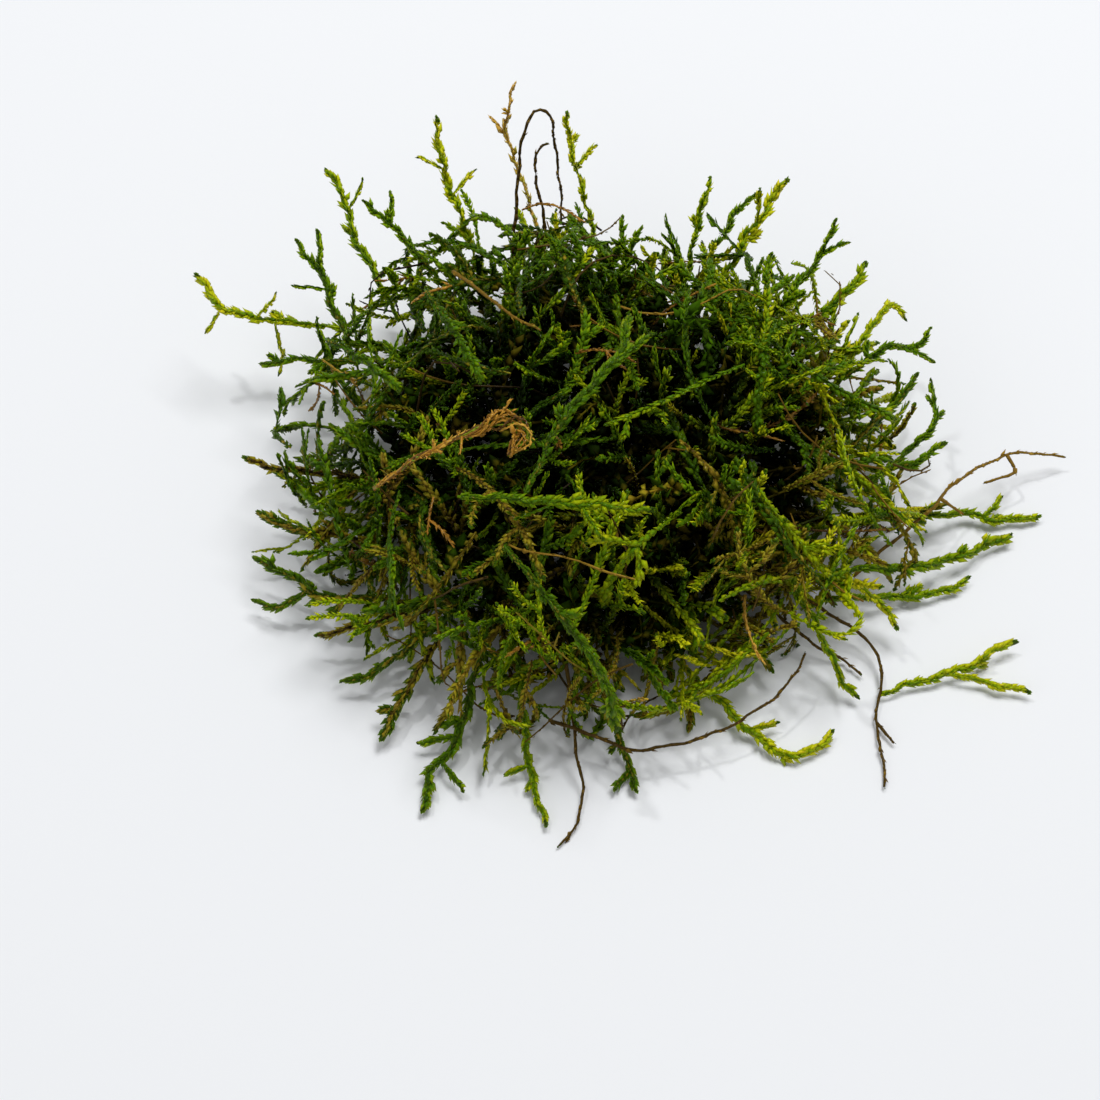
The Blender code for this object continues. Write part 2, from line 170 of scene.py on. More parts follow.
@dataclass(frozen=True)
class Tissue:
    """Moss tissue: thin grown cell walls, always damp.

    The eye sees thin leaves that light shines through, paler towards the tip, with painted light making the
    margins paler still, under a film of water that gives small sharp glints. Old tissue is brown, opaque and
    duller.
    """

    slot: str
    palette: tuple
    roughness: tuple[float, float] = (0.42, 0.62)
    gloss: float = 0.06  # specular level: cell walls soaked in water reflect less than dry ones
    glow: float = 0.35  # how much light goes through the tissue
    glow_depth: float = 0.45 * MM
    film: float = 0.2  # the film of water on top
    film_roughness: float = 0.05
    cells_per_card: float = 6.0  # real cells are some hundredths of a millimetre: drawn coarser to show
    relief: float = 0.03 * MM
    grain: tuple[float, float] = (1.12, 0.78)  # light at the middle of a cell and at its wall
    mottle_scale: float = 2.3  # slow drifts of colour, in waves across a card
    patchiness: float = 0.16  # how far they shift the palette
    younger_tip: float = 0.15  # how much younger a leaf's tip is than its foot, on the palette
    margin_painted_light: float = 0.14  # painted light: twice how much paler its margins are than its midline, as if lit through from behind
    darkest: float = 0.07  # light share that is left deep inside
    shade_curve: float = 1.1
    cell_ior: float = 1.4
    water_ior: float = 1.33
    light_reach: tuple[float, float, float] = (0.8, 1.0, 0.25)  # green light goes furthest through a leaf

    def make(self, name: str) -> bpy.types.Material:
        """Builds the material.

        Args:
            name: the material's name.

        Returns:
            A material whose colour, roughness and relief all come from the leaf cards.
        """
        material = bpy.data.materials.new(name)
        material.use_nodes = True
        tree = material.node_tree
        shader = tree.nodes["Principled BSDF"]
        place = add_node(tree, "ShaderNodeUVMap", {"uv_map": MAP_NAME})
        layout = (CARDS.columns, CARDS.rows, 0)
        grid = add_node(tree, "ShaderNodeVectorMath", {"operation": "MULTIPLY", 1: layout}, {0: place})
        card = add_node(tree, "ShaderNodeVectorMath", {"operation": "FLOOR"}, {0: grid})
        number = add_node(tree, "ShaderNodeSeparateXYZ", links={0: card})
        cells = add_node(tree, "ShaderNodeTexVoronoi", {"Scale": self.cells_per_card}, {"Vector": grid})
        mottle = add_node(
            tree, "ShaderNodeTexNoise", {"Scale": self.mottle_scale, "Detail": 3.0}, {"Vector": grid}
        )
        ramp = add_node(tree, "ShaderNodeValToRGB", links={0: self._age(tree, grid, number, mottle)})
        fill_ramp(ramp.color_ramp, self.palette)
        light = self._light(tree, number.outputs[1], cells)
        colour = add_node(tree, "ShaderNodeVectorMath", {"operation": "SCALE"}, {0: ramp, "Scale": light})
        rough = add_node(
            tree, "ShaderNodeMapRange",
            {"From Min": 0.3, "From Max": 0.7, "To Min": self.roughness[0], "To Max": self.roughness[1]},
            {"Value": mottle},
        )
        bump = add_node(tree, "ShaderNodeBump", {"Strength": 0.6, "Distance": self.relief}, {"Height": cells})
        for name, source in (("Base Color", colour), ("Roughness", rough), ("Normal", bump)):
            tree.links.new(source.outputs[0], shader.inputs[name])
        values = {
            "IOR": self.cell_ior, "Specular IOR Level": self.gloss, "Subsurface Weight": self.glow,
            "Subsurface Radius": self.light_reach, "Subsurface Scale": self.glow_depth,
            "Coat Weight": self.film, "Coat Roughness": self.film_roughness, "Coat IOR": self.water_ior,
        }
        for name, value in values.items():
            shader.inputs[name].default_value = value
        return material

    def _light(
        self, tree: bpy.types.NodeTree, row: bpy.types.NodeSocket, cells: bpy.types.Node
    ) -> bpy.types.Node:
        """Finds the light share: the card's shade, with the cells' walls a little darker.

        Args:
            tree: the node tree to add to.
            row: the card's row.
            cells: the pattern of cells.

        Returns:
            The node that gives the light share.
        """
        shade = add_node(tree, "ShaderNodeMath", {"operation": "DIVIDE", 1: CARDS.rows - 1}, {0: row})
        curve = add_node(tree, "ShaderNodeMath", {"operation": "POWER", 1: self.shade_curve}, {0: shade})
        dim = add_node(
            tree, "ShaderNodeMapRange", {"To Min": self.darkest, "To Max": 1.0}, {"Value": curve}
        )
        grain = add_node(
            tree, "ShaderNodeMapRange", {"To Min": self.grain[0], "To Max": self.grain[1]}, {"Value": cells}
        )
        return add_node(tree, "ShaderNodeMath", {"operation": "MULTIPLY"}, {0: dim, 1: grain})

    def _age(
        self, tree: bpy.types.NodeTree, grid: bpy.types.Node, number: bpy.types.Node, mottle: bpy.types.Node
    ) -> bpy.types.Node:
        """Finds the place on the palette: the card's tone, younger at the leaf's tip, and paler at its
        margins as painted light shining through.

        Args:
            tree: the node tree to add to.
            grid: the map's coordinates, counted in cards.
            number: the card's column and row.
            mottle: a slow noise.

        Returns:
            The node that gives the palette share.
        """
        inside = add_node(tree, "ShaderNodeVectorMath", {"operation": "FRACTION"}, {0: grid})
        spot = add_node(tree, "ShaderNodeSeparateXYZ", links={0: inside})
        across = add_node(tree, "ShaderNodeMath", {"operation": "SUBTRACT", 1: 0.5}, {0: spot})
        aside = add_node(tree, "ShaderNodeMath", {"operation": "ABSOLUTE"}, {0: across})
        shift = -(self.younger_tip + self.patchiness) / 2
        settings = {"operation": "MULTIPLY_ADD", 1: 1 / (CARDS.columns - 1), 2: shift}
        total = add_node(tree, "ShaderNodeMath", settings, {0: number})
        # the margins' share is painted light: edges made paler as if lit through from behind
        parts = ((spot.outputs[1], self.younger_tip), (aside, self.margin_painted_light), (mottle, self.patchiness))
        for source, weight in parts:
            settings = {"operation": "MULTIPLY_ADD", 1: weight}
            total = add_node(tree, "ShaderNodeMath", settings, {0: source, 2: total})
        return total


# Palettes run from the oldest tissue to the youngest.
GREEN_PALETTE = (
    (0.0, "#0e0a03"),
    (0.1, "#4f3c0d"),
    (0.16, "#8f781c"),
    (0.24, "#9a8e1e"),
    (0.3, "#304303"),
    (0.4, "#345303"),
    (0.5, "#466d03"),
    (0.62, "#668c04"),
    (0.74, "#99ae06"),
    (0.87, "#cace10"),
    (1.0, "#dccd22"),
)
STEM_PALETTE = (
    (0.0, "#181104"),
    (0.15, "#332508"),
    (0.35, "#5b4610"),
    (0.6, "#8c6c1e"),
    (0.75, "#a9862c"),
    (0.88, "#7a7817"),
    (1.0, "#46620b"),
)
DEAD_PALETTE = (
    (0.0, "#33200a"),
    (0.3, "#7a5212"),
    (0.6, "#b98324"),
    (0.8, "#dbac40"),
    (0.92, "#a8a01c"),
    (1.0, "#7f9010"),
)


class Finish(Enum):
    """The clump's finishes, each holding the name of a material slot in the record."""

    # Living leaves: soaked, thin and smooth, so they let light through and glint.
    MOSS_GREEN = Tissue("moss_green", GREEN_PALETTE)
    # The youngest shoots: thinner leaves still, so they glow most.
    MOSS_LIME = Tissue("moss_lime", GREEN_PALETTE, roughness=(0.38, 0.58), glow=0.45)
    # Old growth deep inside: opaque and dull, seen only through gaps.
    MOSS_OLD = Tissue("moss_green", GREEN_PALETTE, roughness=(0.7, 0.85), gloss=0.05, glow=0.0, film=0.0)
    # Stems that have lost their leaves: woody brown, with hardly any shine.
    OLD_STEM = Tissue("old_stem", STEM_PALETTE, roughness=(0.5, 0.7), gloss=0.15, glow=0.0, film=0.08)
    # Dead shoots: rotted to amber and rust, soaked, with a bright film.
    DEAD_STRAND = Tissue("dead_strand", DEAD_PALETTE, roughness=(0.45, 0.7), gloss=0.2, glow=0.15, film=0.7)

    @property
    def slot(self) -> str:
        """The record's material slot."""
        return self.value.slot

    @property
    def material_name(self) -> str:
        """The name of its material."""
        return f"{self.name.lower()}_tissue"


# ---------------------------------------------------------------- mesh building


@dataclass
class MeshBuffer:
    """Collects vertices, faces and map places, and turns them into one object."""

    vertices: list = field(default_factory=list)
    places: list = field(default_factory=list)
    quads: list = field(default_factory=list)
    triangles: list = field(default_factory=list)
    count: int = 0

    def add(self, vertices: np.ndarray, places: np.ndarray, quads: np.ndarray, triangles: np.ndarray) -> None:
        """Adds a batch of copies of one small mesh.

        Args:
            vertices: places of shape (copies, points, 3).
            places: map coordinates of shape (copies, points, 2).
            quads: four-cornered faces of one copy.
            triangles: three-cornered faces of one copy.
        """
        copies, points = vertices.shape[:2]
        shift = (self.count + points * np.arange(copies))[:, None, None]
        self.vertices.append(vertices.reshape(-1, 3))
        self.places.append(places.reshape(-1, 2))
        self.quads.append((quads[None] + shift).reshape(-1, 4))
        self.triangles.append((triangles[None] + shift).reshape(-1, 3))
        self.count += copies * points

    def triangle_count(self) -> int:
        """The number of triangles so far."""
        return sum(len(t) for t in self.triangles) + 2 * sum(len(q) for q in self.quads)

    def to_object(self, name: str, finish: Finish) -> bpy.types.Object:
        """Makes the object.

        Args:
            name: the object's name.
            finish: the finish that it wears.

        Returns:
            A smooth-shaded mesh object with its map, linked to the scene.
        """
        vertices = np.concatenate(self.vertices)
        vertices[:, 2] = rest_on_ground(vertices[:, 2], LEAF_GROUND)
        triangles = np.concatenate(self.triangles)
        quads = np.concatenate(self.quads)
        corners = np.concatenate([triangles.ravel(), quads.ravel()])
        sizes = np.concatenate([np.full(len(triangles), 3), np.full(len(quads), 4)])
        starts = np.concatenate([[0], np.cumsum(sizes)[:-1]])
        mesh = bpy.data.meshes.new(name)
        mesh.vertices.add(len(vertices))
        mesh.loops.add(len(corners))
        mesh.polygons.add(len(sizes))
        mesh.vertices.foreach_set("co", vertices.astype(np.float32).ravel())
        mesh.loops.foreach_set("vertex_index", corners.astype(np.int32))
        mesh.polygons.foreach_set("loop_start", starts.astype(np.int32))
        layer = mesh.uv_layers.new(name=MAP_NAME)
        layer.uv.foreach_set("vector", np.concatenate(self.places)[corners].astype(np.float32).ravel())
        mesh.update(calc_edges=True)
        mesh.shade_smooth()
        mesh.materials.append(bpy.data.materials[finish.material_name])
        thing = bpy.data.objects.new(name, mesh)
        bpy.context.scene.collection.objects.link(thing)
        log.info("%s: %d triangles", name, self.triangle_count())
        return thing


def rest_on_ground(height: np.ndarray, soft: float) -> np.ndarray:
    """Keeps heights above the ground, pressing what would sink into a thin layer in its old order.

    Args:
        height: heights in metres.
        soft: the height below which they are pressed.

    Returns:
        Heights that are all above zero.
    """
    return np.where(height < soft, soft * np.exp(np.minimum(height - soft, 0) / soft), height)


def unit(vectors: np.ndarray) -> np.ndarray:
    """Vectors along the last axis, scaled to a length of one."""
    return vectors / np.maximum(np.linalg.norm(vectors, axis=-1, keepdims=True), 1e-12)


def smooth_step(value: np.ndarray, low: float, high: float) -> np.ndarray:
    """A share that rises smoothly from 0 at low to 1 at high."""
    share = np.clip((value - low) / (high - low), 0, 1)
    return share * share * (3 - 2 * share)


SWAY_WAVES = ((5.1 * MM, 1.0), (2.1 * MM, 0.4))  # pairs of a wave's length and its share of the height


@dataclass
class Route:
    """The line that a stem follows, with the side of it that faces outwards."""

    points: np.ndarray
    outward: np.ndarray

    @classmethod
    def through(cls, knots: np.ndarray, outward: np.ndarray, step: float = 0.3 * MM) -> "Route":
        """A smooth route through some points.

        Args:
            knots: the points that the route passes through, in metres.
            outward: the direction that the flat side of the shoot faces.
            step: the spacing of the route's points.

        Returns:
            The route.
        """
        ends = np.vstack([2 * knots[0] - knots[1], knots, 2 * knots[-1] - knots[-2]])
        run = []
        for a, b, c, d in zip(ends, ends[1:], ends[2:], ends[3:]):
            count = max(2, round(float(np.linalg.norm(c - b)) / step))
            t = (np.arange(count) / count)[:, None]
            bend = (2 * a - 5 * b + 4 * c - d) * t**2 + (3 * b - a - 3 * c + d) * t**3
            run.append(b + ((c - a) * t + bend) / 2)
        points = np.vstack([*run, knots[-1:]])
        return cls(points, np.broadcast_to(outward, points.shape))

    def __post_init__(self) -> None:
        """Works out the distance along the route at each point."""
        gaps = np.linalg.norm(np.diff(self.points, axis=0), axis=1)
        self.distance = np.concatenate([[0], np.cumsum(gaps)])
        self.length = float(self.distance[-1])
        self.tangent = unit(np.gradient(self.points, axis=0))

    def swayed(self, rng: np.random.Generator, height: float) -> "Route":
        """The same route with the small bends of a grown stem, none of them at its start.

        Args:
            rng: the random numbers to draw from.
            height: how far the stem swings to each side.

        Returns:
            The new route.
        """
        sway = np.zeros_like(self.points)
        for wave, share in SWAY_WAVES:
            turn = math.tau * self.distance[:, None] / wave + rng.uniform(0, math.tau, 3)
            sway += share * height * np.sin(turn)
        sway *= smooth_step(self.distance, 0, 3 * MM)[:, None] * (1, 1, 0.6)
        return Route(self.points + sway, self.outward)

    def splayed(self, rng: np.random.Generator, width: float) -> "Route":
        """The way of one more strand of a frayed bundle, which comes apart near its tip and closes again.

        Args:
            rng: the random numbers to draw from.
            width: how far the strand swings away at most.

        Returns:
            The new route.
        """
        share = self.distance / self.length
        swing = width * (0.16 + 0.84 * smooth_step(share, 0.5, 0.74) - 0.6 * smooth_step(share, 0.9, 1.0))
        turn = rng.uniform(0, math.tau) + rng.uniform(0.5, 1.2) * self.distance / MM
        _, _, side, out = self.axes(self.distance)
        aside = np.cos(turn)[:, None] * side + 0.5 * np.sin(turn)[:, None] * out
        return Route(self.points + (rng.uniform(0.4, 1.0) * swing)[:, None] * aside, self.outward)

    def read(self, values: np.ndarray, where: np.ndarray) -> np.ndarray:
        """Reads values that belong to the route's points at other distances along it."""
        return np.stack([np.interp(where, self.distance, v) for v in values.T], -1)

    def axes(self, where: np.ndarray) -> tuple[np.ndarray, np.ndarray, np.ndarray, np.ndarray]:
        """Finds the place and the three directions at some distances along the route.

        Args:
            where: distances in metres.

        Returns:
            Places, forward, sideways and outward directions.
        """
        forward = unit(self.read(self.tangent, where))
        side = np.cross(forward, self.read(self.outward, where))
        weak = np.linalg.norm(side, axis=-1, keepdims=True) < 0.15
        side = unit(np.where(weak, np.cross(forward, (0.3, -0.9, 0.3)), side))
        return self.read(self.points, where), forward, side, np.cross(side, forward)


@dataclass(frozen=True)
class LeafForm:
    """A moss leaf: pointed, hollow like a boat, closed all round.

    Sizes are in metres. Rings are pairs of a share of the length and a share of the full width.
    """

    length: float = 1.22 * MM
    width: float = 0.58 * MM
    thickness: float = 0.08 * MM
    clasp: float = 0.3  # how far the margins bend in towards the stem, as a share of half the width
    bow: float = 0.12  # how far the tip leans back to the stem, as a share of the length
    rings: tuple = ((0.4, 1.0),)

    def template(self) -> tuple[np.ndarray, np.ndarray, np.ndarray]:
        """Works out the leaf's points in shares of its own size.

        Returns:
            Points as (along, across, lift) rows, quads and triangles.
        """
        thin = self.thickness / self.width
        rows = [(0.0, 0.0, 0.0)]
        for along, wide in self.rings:
            rim = -self.clasp * wide / 2
            ring = ((-wide / 2, rim), (0, thin / 2), (wide / 2, rim), (0, -thin / 2))
            rows += [(along, across, lift) for across, lift in ring]
        rows.append((1.0, 0.0, 0.0))
        tip = len(rows) - 1
        quads = []
        for ring in range(len(self.rings) - 1):
            low = 1 + 4 * ring
            quads += [(low + i, low + (i + 1) % 4, low + 4 + (i + 1) % 4, low + 4 + i) for i in range(4)]
        last = tip - 4
        triangles = [(0, 1 + (i + 1) % 4, 1 + i) for i in range(4)]
        triangles += [(tip, last + i, last + (i + 1) % 4) for i in range(4)]
        return np.array(rows), np.array(quads, int).reshape(-1, 4), np.array(triangles, int)


@dataclass(frozen=True)
class Habit:
    """How leaves sit on a stem: their form, spacing and angles, and the stem's own thickness."""

    leaf: LeafForm
    spacing: float = 0.14 * MM  # between a leaf and the next, over all four ranks
    side_spread: float = 30.0  # degrees between a side leaf and the stem
    face_spread: float = 11.0  # the same for leaves on the two flat faces
    flatness: float = 62.0  # degrees by which side leaves turn their faces into the plane of the shoot
    stem_radius: float = 0.13 * MM
    stem_sides: int = 4
    segment: float = 2.4 * MM  # length of the short tubes that make up the stem
    stem_darker: float = 0.14  # how much older the stem is than its leaves, on the palette
    face_darker: float = 0.07  # the same for the leaves on the flat faces, which shows as a dark midline
    ragged: float = 7.0  # degrees of disorder in the leaves
    size_disorder: float = 0.11
    root_size: float = 0.6  # size of the leaves at the root, as a share of the full size


# A stem segment's rings, as pairs of a place along it and a share of its radius: the ends slip into the next.
SEGMENT_RINGS = ((-0.07, 0.6), (0.02, 1.0), (0.98, 1.0), (1.07, 0.6))

STEM_TAPER = 0.4  # share of its thickness that a stem loses towards its tip
RANK_ANGLES = (0, 180, 90, 270)  # degrees around the stem: the two sides, then the two faces
CLOSED_SPREAD, CLOSED_LENGTH, CLOSED_WIDTH = 0.45, 0.38, 0.8  # shares of a leaf's angle and size at the tip
CLOSING_REACH = 1.5  # millimetres before the tip over which leaves close
BUD_LENGTH = 0.7  # millimetres at the tip that take the bud's tone


@dataclass
class Shoot:
    """One stem with its leaves, along a route."""

    route: Route
    habit: Habit
    tone: float
    rng: np.random.Generator
    light: Callable[[np.ndarray], np.ndarray] | None = None  # from points to light shares
    bud_tone: float = Tone.DEEP.value
    age: float = 0.1  # how much older the root is than the tip, on the palette

    def grow(self, buffer: MeshBuffer) -> None:
        """Adds the stem and its leaves.

        Args:
            buffer: where the mesh is collected.
        """
        self._stem(buffer)
        self._leaves(buffer)

    def _light_at(self, points: np.ndarray) -> np.ndarray:
        """The light share at each point."""
        return np.ones(len(points)) if self.light is None else self.light(points)

    def _stem(self, buffer: MeshBuffer) -> None:
        """Adds the stem, a row of short closed tubes, so that each can take its own card.

        Args:
            buffer: where the mesh is collected.
        """
        habit, route = self.habit, self.route
        parts, sides = max(1, round(route.length / habit.segment)), habit.stem_sides
        within, shares = np.array(SEGMENT_RINGS).T
        rings = len(within)
        where = np.clip((np.arange(parts)[:, None] + within) / parts, 0, 1) * route.length
        place, _, side, out = route.axes(where.ravel())
        turn = np.arange(sides) * math.tau / sides
        radius = habit.stem_radius * (1 - STEM_TAPER * where.ravel() / route.length)
        radius = radius * (1 + 0.12 * np.sin(where.ravel() / (0.4 * MM) + 9 * self.tone))
        radius = radius * np.tile(shares, parts)
        around = np.cos(turn)[None, :, None] * side[:, None] + np.sin(turn)[None, :, None] * out[:, None]
        tube = (place[:, None] + radius[:, None, None] * around).reshape(parts, -1, 3)
        ends = place.reshape(parts, rings, 3)[:, [0, -1]]
        low = np.arange(rings - 1)[:, None] * sides + np.arange(sides)[None]
        high = np.arange(rings - 1)[:, None] * sides + (np.arange(sides)[None] + 1) % sides
        quads = np.stack([low, high, high + sides, low + sides], -1).reshape(-1, 4)
        first = rings * sides
        caps = [(first, (i + 1) % sides, i) for i in range(sides)]
        caps += [(first + 1, first - sides + i, first - sides + (i + 1) % sides) for i in range(sides)]
        across = np.concatenate([np.tile(np.arange(sides) / (sides - 1), rings), [0.5, 0.5]])
        along = np.concatenate([np.repeat(np.linspace(0, 1, rings), sides), [0.1, 0.9]])
        shade = self._light_at(ends.mean(axis=1))[:, None]
        tone = self.tone - habit.stem_darker
        points = np.concatenate([tube, ends], axis=1)
        buffer.add(points, CARDS.places(tone, shade, across, along), quads, np.array(caps))

    def _leaves(self, buffer: MeshBuffer) -> None:
        """Adds the leaves, in two ranks on the sides and two on the faces, and closed over the bud.

        Args:
            buffer: where the mesh is collected.
        """
        habit, route, rng = self.habit, self.route, self.rng
        count = max(4, int(route.length / habit.spacing))
        where = np.linspace(0.1 * MM, route.length, count)
        where = np.clip(where + rng.uniform(-0.4, 0.4, count) * habit.spacing, 0, route.length)
        place, forward, side, out = route.axes(where)
        rank = np.arange(count) % 4
        angle = np.radians(np.choose(rank, RANK_ANGLES) + rng.normal(0, 16, count))
        spread = np.where(rank < 2, habit.side_spread, habit.face_spread)
        to_tip = (route.length - where) / MM
        closing = smooth_step(to_tip, -0.2, min(CLOSING_REACH, 0.4 * route.length / MM))
        spread = spread + rng.normal(0, habit.ragged, count)
        spread = spread * (CLOSED_SPREAD + (1 - CLOSED_SPREAD) * closing)
        spread = np.radians(np.clip(spread, 3, 88))
        radial = np.cos(angle)[:, None] * side + np.sin(angle)[:, None] * out
        along = np.cos(spread)[:, None] * forward + np.sin(spread)[:, None] * radial
        wide = unit(np.cross(forward, radial))
        lift = np.cross(wide, along)
        twist = np.radians(np.choose(rank, [1, -1, 0, 0]) * habit.flatness) + rng.normal(0, 0.18, count)
        twist = twist[:, None]
        wide, lift = np.cos(twist) * wide + np.sin(twist) * lift, np.cos(twist) * lift - np.sin(twist) * wide
        size = np.exp(rng.normal(0, habit.size_disorder, count))
        size = size * (habit.root_size + (1 - habit.root_size) * smooth_step(where / route.length, 0, 0.4))
        form = habit.leaf
        rows, quads, triangles = form.template()
        length = form.length * size * (CLOSED_LENGTH + (1 - CLOSED_LENGTH) * closing)
        width = form.width * size * (CLOSED_WIDTH + (1 - CLOSED_WIDTH) * closing)
        width = width * np.exp(rng.normal(0, 0.1, count))
        length, width = length[:, None, None], width[:, None, None]
        lean = (form.bow + rng.normal(0, 0.08, count))[:, None, None] * (rows[:, 0] ** 2)[None, :, None]
        points = (
            (place + radial * habit.stem_radius * 0.5)[:, None]
            + length * (rows[:, 0][None, :, None] * along[:, None] - lean * radial[:, None])
            + width * (rows[:, 1][None, :, None] * wide[:, None] + rows[:, 2][None, :, None] * lift[:, None])
        )
        tone = self.tone + self.age * (where / route.length - 0.9) + rng.normal(0, 0.03, count)
        tone = tone - np.where(rank < 2, 0.0, habit.face_darker)
        bud = min(BUD_LENGTH, 0.1 * route.length / MM) * rng.uniform(0.7, 1.2, count)
        tone = np.where(to_tip < bud, self.bud_tone, tone)
        shade = self._light_at(place) + rng.normal(0, 0.04, count)
        across = np.broadcast_to((rows[:, 1] + 0.5)[None], points.shape[:2])
        up = np.broadcast_to(rows[:, 0][None], points.shape[:2])
        places = CARDS.places(np.clip(tone, 0, 1)[:, None], np.clip(shade, 0, 1)[:, None], across, up)
        buffer.add(points, places, quads, triangles)


# ---------------------------------------------------------------- the mat


@dataclass(frozen=True)
class Patch:
    """A place of the mat, as seen from above, where the shoots differ.

    Sizes are in millimetres. Lift is added to the share of the mat's radius at which tips end, and tone to
    theirs.
    """

    middle: tuple[float, float]
    radius: float
    tone: float = 0.0
    lift: float = 0.0
    worn: float = 0.0  # share of the shoots that have turned olive brown

    def strength(self, points: np.ndarray) -> np.ndarray:
        """How strongly the patch is felt at points, from 0 to 1."""
        gap = np.linalg.norm(points[..., :2] / MM - np.array(self.middle), axis=-1)
        return np.exp(-((gap / self.radius) ** 2))


PATCHES = (
    Patch((-15.8, -12.2), 3.6, lift=-0.28),
    Patch((10.2, -1.2), 4.0, lift=-0.26),
    Patch((4.0, 7.6), 3.2, lift=-0.22),
    Patch((20.5, -12.2), 3.0, lift=-0.2),
    Patch((-4.5, -2.5), 2.6, lift=-0.2),
    Patch((-12.7, -18.5), 3.2, lift=-0.2),
    Patch((4.1, -22.0), 2.6, lift=-0.18),
    Patch((9.1, -18.4), 6.0, tone=0.2),
    Patch((-21.4, 2.6), 13.0, tone=-0.1),
    Patch((25.0, 4.0), 16.0, tone=0.11),
    Patch((-19.0, -20.0), 10.0, tone=-0.12),
    Patch((-8.0, 22.0), 7.0, tone=-0.16),
    Patch((-2.0, -29.0), 13.0, tone=0.15, worn=0.5),
    Patch((22.0, -19.0), 10.0, tone=0.22, worn=0.55),
    Patch((-25.0, -16.0), 11.0, worn=0.35),
    Patch((31.0, 2.0), 9.0, worn=0.25),
)
WORN_TONES = (Tone.OLIVE.value + 0.035, 0.02)  # middle and spread of the worn shoots' tones


@dataclass(frozen=True)
class MatForm:
    """The rounded form that the tips of the mat's shoots reach, as the frame gives it."""

    half_size: tuple[float, float]
    height: float
    waist: float = 8 * MM
    underside: float = 13 * MM
    shaded: tuple[float, float] = (0.56, 0.94)  # shares of the radius between which light fades inwards
    bright_height: float = 8 * MM  # below this the light fades towards the ground
    ground_light: float = 0.62  # light share that is left there
    thin_places: tuple = ((72, 0.12, 20), (-50, 0.11, 22), (-148, 0.05, 16))

    @classmethod
    def from_frame(cls) -> "MatForm":
        """Reads the sizes from the frame's own box.

        Returns:
            The form.
        """
        low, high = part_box("shoot_mat")
        half = ((high[0] - low[0]) / 2, (high[1] - low[1]) / 2)
        return cls(half, high[2])

    def radius(self, direction: np.ndarray) -> np.ndarray:
        """The mat's radius in some directions.

        Args:
            direction: unit vectors from the middle of the mat's waist.

        Returns:
            Shares of the radius of its smooth round form.
        """
        turn = np.arctan2(direction[..., 1], direction[..., 0])
        edge = np.sqrt(np.clip(1 - direction[..., 2] ** 2, 0, 1))
        share = np.ones(direction.shape[:-1])
        for middle, depth, spread in self.thin_places:
            apart = np.remainder(turn - math.radians(middle) + math.pi, math.tau) - math.pi
            share = share - depth * edge * np.exp(-((apart / math.radians(spread)) ** 2))
        return share

    def scale(self, height: np.ndarray) -> np.ndarray:
        """The mat's half sizes for points above or below the waist."""
        rise = np.where(height > 0, self.height - self.waist, self.underside)
        return np.stack(np.broadcast_arrays(*self.half_size, rise), -1)

    def place(self, direction: np.ndarray, share: np.ndarray) -> np.ndarray:
        """Finds points of the mat.

        Args:
            direction: unit vectors from the middle of the mat's waist.
            share: how far out each point lies, where one is the mat's outside.

        Returns:
            Points in metres.
        """
        reach = (share * self.radius(direction))[..., None]
        return direction * self.scale(direction[..., 2]) * reach + (0, 0, self.waist)

    def share_of(self, points: np.ndarray) -> np.ndarray:
        """How far out points lie.

        Args:
            points: points in metres.

        Returns:
            Shares of the mat's radius, where one is its outside.
        """
        place = points - (0, 0, self.waist)
        direction = place / self.scale(place[..., 2])
        return np.linalg.norm(direction, axis=-1) / self.radius(unit(direction))

    def outward(self, points: np.ndarray) -> np.ndarray:
        """The direction that leads straight out of the mat at points."""
        place = points - (0, 0, self.waist)
        return unit(place / self.scale(place[..., 2]) ** 2)

    def light(self, points: np.ndarray) -> np.ndarray:
        """The light at points: full outside, little deep inside, and less near the ground.

        Args:
            points: points in metres.

        Returns:
            Light shares.
        """
        low = np.clip(points[..., 2] / self.bright_height, 0, 1)
        height_light = self.ground_light + (1 - self.ground_light) * low
        return smooth_step(self.share_of(points), *self.shaded) * height_light


@dataclass(frozen=True)
class Layer:
    """One layer of the mat: how many shoots, how far out their tips end, and how they grow and look."""

    name: str
    count: int
    tips: tuple[float, float]  # middle and spread of the tips' shares of the mat's radius
    length: tuple[float, float]
    swing: float  # how far tips lean away from straight out, where one is half a right angle
    curl: float  # radians of bend in a millimetre
    twigs: tuple[int, int]
    habit: Habit
    tones: tuple[float, float]  # middle and spread of the shoots' tones
    seed: int
    finish: Finish = Finish.MOSS_GREEN
    pieces: int = 1
    skirt: float = 0.1  # how much further the tips at the sides may reach
    ground: float = 1.2 * MM  # stems lower than this are pressed together above the ground


SMALL_LEAF = LeafForm(length=0.92 * MM, width=0.43 * MM)
OLD_LEAF = LeafForm(length=1.75 * MM, width=1.15 * MM)
SCALE_LEAF = LeafForm(length=0.45 * MM, width=0.2 * MM)
BEAD_LEAF = LeafForm(length=0.6 * MM, width=0.26 * MM)

